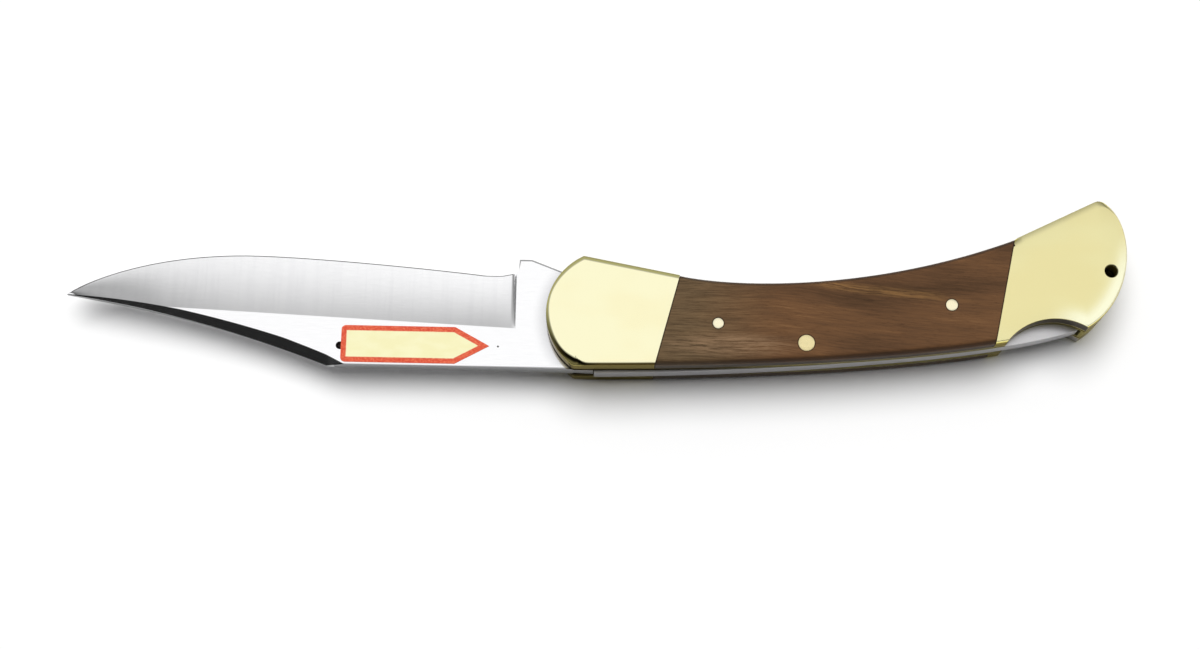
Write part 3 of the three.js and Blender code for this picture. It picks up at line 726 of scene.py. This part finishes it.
clip_line = np.vstack([
    arc(clip_centre, CLIP_RADIUS, *clip_angles, 200),
    [[PLUNGE_X, SPINE], [TANG_FRONT, TANG_DEPTH], [20, TANG_DEPTH]],
])
print("centre of the clip's arc", clip_centre.round(2))


# %% Lines of the grind
def back_at(x): return np.interp(x, clip_line[:, 0], clip_line[:, 1])
def edge_at(x): return np.interp(x, edge_line[:, 0], edge_line[:, 1])
def grind_at(x): return GRIND_Y - math.tan(GRIND_LEAN) * (x - PLUNGE_X)


SWEDGE_FULL, SWEDGE_RUN_OUT = -87.75, 4
corner_end = clip_corner[0] + SWEDGE_RUN_OUT


def swedge_at(x):
    """Upper border of the swedge: its width grows from the tip, then runs out behind the corner."""
    width = np.interp(x, [SWEDGE_FULL, -65, clip_corner[0]], [1.55, 2.25, 2.05])
    width = width * np.interp(x, [-BLADE_REACH, SWEDGE_FULL], [0.05, 1])
    width = width * np.interp(x, [clip_corner[0], corner_end], [1, 0])
    return np.minimum(back_at(x) + width, (back_at(x) + edge_at(x)) / 2)


fine_x = np.linspace(-BLADE_REACH, -60, 4000)
ground_x = float(fine_x[np.argmax(grind_at(fine_x) > swedge_at(fine_x) + 0.001)])
print("grind line meets the swedge at", round(ground_x, 2))


# %% Thickness of the blade
TIP_THINNING, SCOOP = 0.775, 0.3
EDGE_HALF, THINNEST, CUTTING_HALF = 0.15, 0.06, 0.04


def taper(x):
    """The stock thins to the tip: 1 - TIP_THINNING s^2, where s grows from the grind's end to the tip."""
    return 1 - TIP_THINNING * np.clip((ground_x - x) / (ground_x + BLADE_REACH), 0, 1) ** 2


def plunge_rise(x):
    """0 on the hollow and 1 on the tang: 1 - sqrt(1 - s^2), a quarter circle over the plunge's run."""
    return 1 - np.sqrt(1 - np.clip((x - PLUNGE_X + PLUNGE_RUN) / PLUNGE_RUN, 0, 1) ** 2)


def ground_half(x, y):
    """Half thickness of the hollow: a straight wedge from spine to edge less a scoop 4 s (1 - s)."""
    start = np.maximum(grind_at(x), np.where(x < ground_x, swedge_at(x), -99))
    share = np.clip((y - start) / np.maximum(edge_at(x) - start, 0.01), 0, 1)
    wedge = FLAT - (FLAT - EDGE_HALF) * share - SCOOP * 4 * share * (1 - share)
    return np.maximum(wedge * taper(x), THINNEST) * (1 - plunge_rise(x)) + FLAT * plunge_rise(x)


print("half thickness at the edge", ground_half(-60.0, edge_at(-60.0)).round(3))

# %% Hollow and cutting edge
TIP_CUT, EDGE_BEVEL, SWEDGE_SLOPE = 0.3, 0.22, 0.85
quarter = np.sin(np.radians(np.linspace(0, 90, 19)))
tip_x = -BLADE_REACH + TIP_CUT
stations = np.concatenate([
    tip_x + (ground_x - tip_x) * np.linspace(0, 1, 60)[:-1] ** 1.5,
    np.linspace(ground_x, clip_corner[0], 70)[:-1],
    np.linspace(clip_corner[0], corner_end, 8)[:-1],
    np.linspace(corner_end, PLUNGE_X - PLUNGE_RUN, 60)[:-1],
    PLUNGE_X - PLUNGE_RUN + PLUNGE_RUN * quarter,
])
grind_start = np.where(stations < ground_x + 1e-6, swedge_at(stations), grind_at(stations))
bevel = np.minimum(EDGE_BEVEL, (edge_at(stations) - grind_start) * 0.2)
share = np.linspace(0, 1, 29)[:, None]
hollow_y = grind_start + (edge_at(stations) - bevel - grind_start) * share
hollow_z = ground_half(stations[None], hollow_y)
rise = plunge_rise(stations)
hollow = np.stack([np.broadcast_to(stations, hollow_y.shape), hollow_y, hollow_z], -1)
rim = np.stack([stations, edge_at(stations), CUTTING_HALF * (1 - rise) + FLAT * rise], -1)
print("hollow grid", hollow.shape)

# %% Swedge
clip_x = stations[stations <= corner_end + 1e-6]
swedge_top = np.where(clip_x < ground_x, FLAT * taper(clip_x), FLAT)
ridge_z = np.maximum(swedge_top - SWEDGE_SLOPE * (swedge_at(clip_x) - back_at(clip_x)), 0.05)
swedge_low = np.stack([clip_x, back_at(clip_x), ridge_z], -1)
swedge_high = np.stack([clip_x, swedge_at(clip_x), swedge_top], -1)
print("swedge grid", swedge_low.shape)

# %% [markdown]
# ### Tang, kick and nail nick
# The tang turns on the pivot. Its round end, the notch for the lock bar and the kick that stops the
# closed blade are one outline. The edge of the tang is worn by a hair, which draws its outline on the
# bright steel. The nail nick is a groove in the upper flat, half hidden by the sticker.

# %% Tang outline
TANG_RADIUS, LOCK_FLOOR, LOCK_WIDTH, KICK_LEAN = 9.6, -5.6, 3.8, math.radians(180 - 21)
WORN_IN, WORN_DOWN = 0.36, 0.17
lock_x = TANG_FRONT + LOCK_WIDTH
kick_rear, kick_front = np.array([-11.94, 11.85]), np.array([-14.66, 11.85])
to_pivot = abs(kick_rear[0] * math.sin(KICK_LEAN) - kick_rear[1] * math.cos(KICK_LEAN))
round_start = -math.degrees(math.acos(lock_x / TANG_RADIUS))
round_end = math.degrees(KICK_LEAN - math.asin(to_pivot / TANG_RADIUS))
tang = np.vstack([
    [[TANG_FRONT, TANG_DEPTH], [TANG_FRONT, LOCK_FLOOR], [lock_x, LOCK_FLOOR]],
    arc((0, 0), TANG_RADIUS, round_start, round_end, 70),
    [kick_rear, kick_front, [PLUNGE_X + 0.4, HEEL_Y], [PLUNGE_X, HEEL_Y]],
])
print("tang's round, degrees", round(round_start, 1), round(round_end, 1))

# %% Flat of the blade
plunge = hollow[::-1, -1, :2]
flat_x = stations[stations >= ground_x - 1e-6]
flat_low = np.stack([flat_x, swedge_at(flat_x)], 1)
flat_grind = np.stack([flat_x, grind_at(flat_x)], 1)[::-1]
flat_loop = np.concatenate([flat_low, tang, plunge, flat_grind[1:-1]])
tang_from, tang_to = len(flat_low) + 3, len(flat_low) + len(tang) - 2
worn = np.zeros(len(flat_loop))
worn[tang_from:tang_to] = 1
both = (worn > 0) & (np.roll(worn, 1) > 0)
worn_loop = np.where(both[:, None], inset(flat_loop, worn, WORN_IN), flat_loop)
print("points round the flat", len(flat_loop))

# %% Nail nick
NICK_Y, NICK_REACH = -8.0, 0.85
nick_left, nick_right = np.array([-52.8, NICK_Y]), np.array([-39.5, NICK_Y])


def groove(radius):
    """A line round both ends of the nick at one distance from its middle line."""
    return np.concatenate([arc(nick_left, radius, 90, 270, 16), arc(nick_right, radius, -90, 90, 16)])


nick_depths = ((NICK_REACH, 0.0), (0.72, 0.3), (0.5, 0.5), (0.25, 0.6))
nick_rings = [at(groove(radius), BLADE_HIGH - depth) for radius, depth in nick_depths]
nick_rings.append(at(np.repeat([nick_left, nick_right], 17, 0), BLADE_HIGH - nick_depths[-1][1]))
print("nick rings", len(nick_rings))

# %% Build the blade's faces
pivot_hole = ring((0, 0), 2.55)
worn_part = slice(tang_from, tang_to + 1)
blade_shell = Shell()
for sign in (1, -1):
    def place(points):
        """The upper side's points, or their mirror image on the lower side."""
        return points * [1, 1, sign] + [0, 0, MID]

    blade_shell.grid(place(hollow))
    blade_shell.grid(place(np.stack([hollow[-1], rim])))
    blade_shell.grid(place(np.stack([swedge_low, swedge_high])))
    nick_hole = [groove(NICK_REACH)] if sign > 0 else []
    blade_shell.fill(flat(MID + sign * FLAT), worn_loop, [pivot_hole, *nick_hole])
    worn_rim = at(flat_loop[worn_part], FLAT - WORN_DOWN * both[worn_part])
    blade_shell.grid(place(np.stack([at(worn_loop[worn_part], FLAT), worn_rim])))
blade_shell.grid(np.stack(nick_rings), closed=True)


# %% Build the blade's walls
def wall(points):
    """A strip that joins a line on the upper side to its mirror image on the lower side."""
    blade_shell.grid(np.stack([points, points * [1, 1, -1]]) + [0, 0, MID])


wall(swedge_low)
spine_x = stations[stations >= corner_end - 1e-6]
wall(at(np.stack([spine_x, back_at(spine_x)], 1), FLAT))
wall(rim)
spine_join = np.concatenate([[[spine_x[-1], back_at(spine_x[-1])]], tang])
tang_low = np.concatenate([[0.0], WORN_DOWN * both[len(flat_low):tang_to + 2]])
wall(at(spine_join, FLAT - tang_low))
blade_shell.grid(np.stack([at(pivot_hole, BLADE_HIGH), at(pivot_hole, BLADE_LOW)]), closed=True)
start = np.concatenate([[swedge_low[0], swedge_high[0]], hollow[1:, 0], [rim[0]]])
point_ring = np.concatenate([start, start[::-1] * [1, 1, -1]]) + [0, 0, MID]
blade_shell.add(point_ring, [list(range(len(point_ring)))])
made["blade"] = blade_shell.build("blade_ground", sharp=6.5)

# %% [markdown]
# ## Sticker
# A foil label lies on the flat, arrow-shaped, with a red border round a bare pale panel. It is a slab a
# tenth of a millimetre thick, so that it casts its own fine edge, as a printed picture would not.

# %% Sticker
LABEL_LEFT, LABEL_BODY, LABEL_POINT = -52.55, 24.5, 7.4
LABEL_Y, LABEL_HALF, LABEL_CORNER, LABEL_THICKNESS = -7.55, 4.05, 1.0, 0.1
label_right, corner_x = LABEL_LEFT + LABEL_BODY, LABEL_LEFT + LABEL_CORNER
low, high = LABEL_Y - LABEL_HALF, LABEL_Y + LABEL_HALF
label_outline = np.vstack([
    arc((corner_x, low + LABEL_CORNER), LABEL_CORNER, 180, 270, 8),
    [[label_right, low], [label_right + LABEL_POINT, LABEL_Y], [label_right, high]],
    arc((corner_x, high - LABEL_CORNER), LABEL_CORNER, 90, 180, 8)[:-1],
])
made["inspection_sticker"] = slab(
    "sticker", label_outline, np.ones(len(label_outline)), BLADE_HIGH, BLADE_HIGH + LABEL_THICKNESS,
    round_edge(0.03, 90))

# %% [markdown]
# ## Finishes
# All patterns are worked out from the object's own coordinates in millimetres, so they stay put when the
# knife opens and shuts. A mask is 1 on the place it means and 0 elsewhere, and mixes one more tone into the
# base colour. Some masks paint shade, highlights and reflections into the colour.
#
# ### Brass
# Bolsters and pins are buffed on a wheel, which leaves fine lines. The dark bore, creases and walls, the
# bright butt round and the tinted notch wall are painted shade, highlight and reflection. One function
# makes all four kinds, so that they differ only in a few numbers.


# %% Polished brass
# side is the share of the colour left on the walls as painted shade.
def brass_finish(name, colour, rough, grain, side=(0.41, 0.37, 0.2), flat_z=7.38):
    """Brass with buffing lines and slow colour drift. Painted shade darkens the lanyard bore, the front
    bolster's back rounds, the walls and the notch wall's lower half; a painted highlight whitens the butt's
    round, and painted reflection tints the notch wall's upper half pale grey and all below the flat a
    deeper gold.
    """
    f = Finish(name)
    place, x, y, z = f.millimetres()
    drift = f.noise(place, (0.05, 0.08, 0.08), detail=2)
    lines = f.noise(place, (0.25, 6.0, 6.0), detail=4, roughness=0.7)
    fine = f.noise(place, (3.0, 3.0, 3.0))
    tint = f.mix(f.between(drift, 0.4, 0.62), colour, toned(colour, 0.99, 0.97, 0.93))
    # Painted shade: the lanyard bore is coloured near black, and it is rougher.
    bore_shade = away(x, y, LANYARD) < LANYARD_RADIUS + 0.02
    tint = f.mix(bore_shade, tint, linear(28, 24, 14))
    height = off(z, TOP_Z / 2)
    # Painted highlight: below the top's level, the butt end's round is coloured near white.
    rim = 1 - f.between(height, TOP_Z / 2 - 0.14, TOP_Z / 2 - 0.01)
    tint = f.mix(f.between(x - y * 0.9, 97, 107) * rim, tint, linear(255, 254, 220))
    # Painted reflection: everything below the flat, rounds and walls, is coloured a deeper gold.
    below_flat = 1 - f.between(height, flat_z - 0.08, flat_z)
    tint = f.mix(below_flat, tint, toned(colour, 0.97, 0.95, 0.62))
    # Painted shade: the front bolster's rounds along the back turn dark, darkest at the back corner.
    crease_shade = below_flat * (1 - f.between(y, -9.5, -5.5)) * (x < 30.0)
    corner = 1 - f.between(away(x, y, (-2.0, -11.0)), 1.5, 6.0)
    tint = f.mix(crease_shade, tint, f.mix(corner, linear(104, 88, 46), linear(26, 22, 10)))
    # Painted shade: the walls below the round take the darker side tone.
    shaded_sides = 1 - f.between(height, flat_z - 0.55, flat_z - 0.3)
    tint = f.mix(shaded_sides, tint, toned(colour, *side))
    # Painted reflection and shade: the notch wall is pale grey on the upper half and dark grey on the lower
    # half.
    notch_wall_reflection = 1 - f.between(away(x, y, NOTCH) - NOTCH_RADIUS, 0.02, 0.1)
    notch_wall_reflection = notch_wall_reflection * (1 - f.between(height, 7.0, 7.15))
    tint = f.mix(notch_wall_reflection, tint, f.mix(z > TOP_Z / 2, linear(190, 190, 192), linear(84, 86, 94)))
    roughness = (lines - 0.5) * grain + (fine - 0.5) * (grain * 0.6) + rough + bore_shade * 0.4
    bump = f.bump(lines * 0.6 + fine * 0.4, 0.12, 0.02)
    return f.surface(tint, roughness, Metallic=1.0, Normal=bump, Specular_Tint=(0.55, 0.5, 0.4, 1))


# Pins take no painted shade on their walls.
PIN_SIDE_SHADE = (1.0, 1.0, 1.0)
polished = brass_finish("polished_brass", linear(245, 241, 202), 0.12, 0.06)
satin = brass_finish("satin_brass", linear(237, 229, 173), 0.25, 0.06, flat_z=7.05)
pin_metal = brass_finish("pin_brass", linear(251, 243, 210), 0.24, 0.12, PIN_SIDE_SHADE)
rocker_metal = brass_finish("rocker_pin_brass", linear(240, 225, 172), 0.3, 0.3, PIN_SIDE_SHADE)

# %% [markdown]
# ### Sheet brass
# The liners are never polished. They are dark with oxide and lighter next to the steel; a pale line under
# the wood is a painted highlight and the black above the bar's front is painted shade.


# %% Sheet brass
def sheet_finish():
    """Sheet brass with dark oxide, lighter along the edge next to the steel behind x 12, with a painted
    highlight line under the wood and painted shade above the lock bar's front.
    """
    f = Finish("sheet_brass")
    place, x, y, z = f.millimetres()
    grain = f.noise(place, (0.3, 5.0, 5.0), detail=4, roughness=0.7)
    height = off(z, TOP_Z / 2)
    bright = (1 - f.between(height, 2.55, 2.75)) * f.between(x, 12.0, 40.0)
    tint = f.mix(bright, linear(64, 58, 40), linear(160, 152, 106))
    # Painted highlight: a pale line along the liner's edge under the wood, towards the butt from x 26.
    highlight_below_wood = f.between(height, 3.25, 3.35) * (1 - f.between(height, 3.45, 3.5))
    tint = f.mix(highlight_below_wood * f.between(x, 26.0, 48.0), tint, linear(232, 222, 168))
    # Painted shade: the upper liner's back wall turns near black at the front, above the lock bar.
    gap_shade = (1 - f.between(height, 3.1, 3.3)) * (1 - f.between(x, 20.0, 44.0)) * (y < -8.0)
    tint = f.mix(gap_shade * (z > TOP_Z / 2), tint, linear(24, 20, 15))
    gloss, bump = (0.5, 0.46, 0.34, 1), f.bump(grain, 0.12, 0.02)
    return f.surface(tint, grain * 0.2 + 0.32, Metallic=1.0, Normal=bump, Specular_Tint=gloss)


sheet = sheet_finish()

# %% [markdown]
# ### Steel
# The blade's flats are polished along it and its hollow is ground across it, so the fine marks turn at the
# grind line. Narrow walls such as the spine look dark in the photo, so masks paint shade on them; painted
# shade also darkens the nick, the cutting edge, the blade next to the bolster and the bar's walls.


# %% Steel
def steel_finish(name, colour, rough, stretch, grain, blade=False):
    """Steel with fine grinding marks; on the blade the hollow's marks run from edge to spine, and painted
    shade darkens the nick, spine, clip wall, cutting edge and the flat by the bolster; on the bar it
    darkens the walls below the top.
    """
    f = Finish(name)
    place, x, y, z = f.millimetres()
    marks = f.noise(place, stretch, detail=4, roughness=0.75)
    cloud = f.noise(place, (0.06, 0.1, 0.1), detail=2)
    roughness = (marks - 0.5) * grain + rough + (cloud - 0.5) * 0.05
    height = marks
    tint = f.mix(f.between(marks, 0.3, 0.75), colour, toned(colour, 0.95, 0.95, 0.95))
    if blade:
        below_line = y + (x - PLUNGE_X) * math.tan(GRIND_LEAN) - GRIND_Y
        hollow_mask = (below_line > 0.0) * (x < PLUNGE_X)
        streaks = f.noise(place, (9.0, 0.25, 0.25), detail=4, roughness=0.7)
        wide = f.noise(place, (0.9, 0.05, 0.05))
        roughness = roughness + hollow_mask * ((streaks - 0.5) * 0.12 + 0.02)
        height = marks * (1 - hollow_mask) * 0.35 + streaks * hollow_mask
        tint = f.mix(hollow_mask * f.between(wide, 0.4, 0.7) * 0.3, tint, linear(236, 236, 238))
        shade = 1 - f.between(away(x, y, FRONT_CENTRE) - FRONT_RADIUS, -0.4, 3.4)
        tint = f.mix(shade * 0.5 * f.between(y, -12.3, -11.0), tint, linear(176, 176, 180))
        # Painted shade: the nail nick's groove is coloured near black.
        sunk = (z < BLADE_HIGH - 0.02) * (z > BLADE_HIGH - 0.7) * (off(y, NICK_Y) < 0.9)
        tint = f.mix(sunk * (x < -38.0) * (x > -54.0), tint, linear(44, 36, 34))
        dot = away(x, y, (-18.8, -7.6)) < 0.21
        tint = f.mix(dot * (z > MID), tint, linear(38, 36, 36))
        # Painted shade: the spine's wall is grey, lighter on the upper half than the lower.
        spine = (1 - f.between(y, SPINE + 0.05, SPINE + 0.3)) * (x > -54.0)
        tint = f.mix(spine, tint, f.mix(z > MID, linear(112, 112, 114), linear(150, 150, 152)))
        # Painted shade: the clip's wall under the swedge is toned grey.
        clip_wall_shade = (off(away(x, y, clip_centre), CLIP_RADIUS) < 0.05) * (x < -54.0)
        tint = f.mix(clip_wall_shade, tint, linear(120, 120, 122))
        # Painted shade: a dark line along the cutting edge, where the faces meet.
        cutting = (off(z, MID) < 0.1) * (x < -22.0)
        tint = f.mix(cutting, tint, linear(74, 74, 76))
    else:
        # Painted shade: the walls below the top are darker, most at the front.
        inner = (z < BLADE_HIGH - 0.1) * (1 - f.between(x, 0.0, 70.0, smooth=False) * 0.6)
        tint = f.mix(inner * 0.75, tint, linear(112, 110, 114))
    return f.surface(tint, roughness, Metallic=1.0, Normal=f.bump(height, 0.10, 0.02))


blade_steel = steel_finish("blade_steel", linear(248, 248, 249), 0.12, (0.3, 7.0, 7.0), 0.08, blade=True)
bar_steel = steel_finish("bar_steel", linear(208, 207, 208), 0.30, (0.2, 5.0, 5.0), 0.16)

# %% [markdown]
# ### Wood
# The scales are dark tropical hardwood. Noise that is squeezed across the grain makes its clouds, short
# fibres and pores without a picture of wood. Dust darkens the seams, and painted shade darkens the rims and
# the walls.


# %% Wood
def wood_finish():
    """Dark hardwood: slow clouds of brown, short fine fibres along X, greyer and paler at the front."""
    f = Finish("dark_hardwood")
    place, x, y, z = f.millimetres()
    sway = f.noise(place, (0.03, 0.06, 0.06), detail=2)
    along_grain = y + (x - 40.0).math("MAXIMUM", 0.0) * 0.08 + (sway - 0.5) * 2.5
    bent = f.node("ShaderNodeCombineXYZ", inputs={0: x, 1: along_grain, 2: z})
    clouds = f.noise(bent, (0.022, 0.16, 0.16), roughness=0.6)
    fibres = f.noise(bent, (0.17, 3.2, 3.2), detail=6, roughness=0.72)
    pores = f.noise(bent, (0.5, 8.0, 8.0), roughness=0.6)
    stops = [(0.32, linear(66, 47, 30)), (0.46, linear(92, 65, 43)), (0.57, linear(108, 76, 49)),
             (0.70, linear(136, 100, 66))]
    tone = f.node("ShaderNodeValToRGB", {"stops": stops}, {0: clouds * 0.6 + fibres * 0.4})
    grey = f.mix(f.between(fibres, 0.3, 0.7), linear(74, 62, 43), linear(116, 98, 72))
    tone = f.mix((1 - f.between(x, 20.0, 44.0)) * 0.7, tone, grey)
    patch = (((x - 31.0) / 15.0) ** 2 + ((y + 7.4) / 2.8) ** 2).math("SQRT")
    patch = (1 - f.between(patch, 0.3, 1.2)) * f.between(fibres, 0.36, 0.62)
    tone = f.mix(patch * 0.75, tone, linear(148, 119, 90))
    band = (1 - f.between(off(along_grain, 7.0), 0.2, 1.5)) * f.between(x, 44.0, 54.0)
    band = band * (1 - f.between(x, 70.0, 84.0)) * f.between(fibres, 0.36, 0.60)
    tone = f.mix(band * 0.7, tone, linear(140, 104, 62))
    dark = f.between(pores, 0.58, 0.68)
    tone = f.mix(dark * 0.4, tone, linear(56, 40, 29))
    front_gap = x - y * math.tan(math.radians(FRONT_LEAN)) - FRONT_SEAM
    rear_gap = REAR_SEAM - (x - y * math.tan(math.radians(REAR_LEAN)))
    seam_line = 1 - f.between(front_gap.math("MINIMUM", rear_gap), 0.08, 0.38)
    front, rocker, rear = (away(x, y, centre) - radius for centre, radius in (FRONT_PIN, ROCKER, REAR_PIN))
    pin_line = 1 - f.between(front.math("MINIMUM", rocker).math("MINIMUM", rear), 0.05, 0.32)
    tone = f.mix(seam_line.math("MAXIMUM", pin_line) * 0.75, tone, linear(34, 26, 18))
    height = off(z, TOP_Z / 2)
    # Painted shade: the rounded rims are darkened.
    rim = f.between(height, 6.1, 6.7) * (1 - f.between(height, 7.1, 7.36))
    tone = f.mix(rim * 0.6, tone, linear(40, 31, 24))
    # Painted shade: the walls below the rims are darker and more olive.
    tone = f.mix((1 - f.between(height, 5.4, 6.5)) * 0.8, tone, linear(42, 38, 24))
    bump = f.bump(fibres * 0.5 - dark * 0.8, 0.3, 0.04)
    return f.surface(tone, fibres * 0.18 + 0.42 + dark * 0.15, Normal=bump, Specular_IOR_Level=0.13)


hardwood = wood_finish()

# %% [markdown]
# ### Foil
# The label is printed foil. Its red border is worked out from the same numbers as its shape, so the two
# stay together if the label is made longer.


# %% Sticker foil
def foil_finish():
    """Pale foil with a red border: the border is where the distance to the outline is small."""
    f = Finish("sticker_foil")
    place, x, y, _ = f.millimetres()
    side = off(y, LABEL_Y)
    lean = math.atan2(LABEL_HALF, LABEL_POINT)
    arrow = (label_right + LABEL_POINT - x) * math.sin(lean) - side * math.cos(lean)
    from_edge = (LABEL_HALF - side).math("MINIMUM", x - LABEL_LEFT).math("MINIMUM", arrow)
    speckle = f.noise(place, (2.6, 2.6, 2.6), detail=4, roughness=0.8)
    border = 1 - f.between(from_edge + (speckle - 0.5) * 0.12, 1.05, 1.25)
    red = f.mix(f.between(speckle, 0.40, 0.66), linear(212, 66, 40), linear(236, 122, 84))
    cloud = f.noise(place, (0.25, 0.5, 0.5))
    pale = f.mix(f.between(cloud, 0.35, 0.65), linear(246, 242, 196), linear(243, 238, 187))
    return f.surface(f.mix(border, pale, red), speckle * 0.2 + 0.4, Normal=f.bump(speckle, 0.15, 0.03))


foil = foil_finish()

# %% [markdown]
# ## Put it together
# Every new piece rides on the body of the solid that it stands for, hides that solid, and takes its finish
# from a table by the start of its node's name; pins take pin brass.

# %% Ride, replace and finish
record = frame["record"]
body_of = {node: body for body, nodes in record["behaviour"]["bodies"].items() for node in nodes}
finishes = {
    "front_bolster": polished, "rear_bolster": satin, "wood_scale": hardwood, "liner": sheet,
    "blade": blade_steel, "inspection_sticker": foil, "rocker_pin": rocker_metal,
}
for node, piece in made.items():
    material = next((finishes[key] for key in finishes if node.startswith(key)), pin_metal)
    piece.data.materials.append(material)
    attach(piece, body_of[node])
    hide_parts(node)

for node, material in (("lock_bar", bar_steel), ("back_spring", bar_steel), ("rear_spacer", sheet)):
    data = frame["nodes"][node].data
    data.materials.clear()
    data.materials.append(material)

low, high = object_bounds()
print("visual box", [round(v / MM, 2) for v in low], [round(v / MM, 2) for v in high])
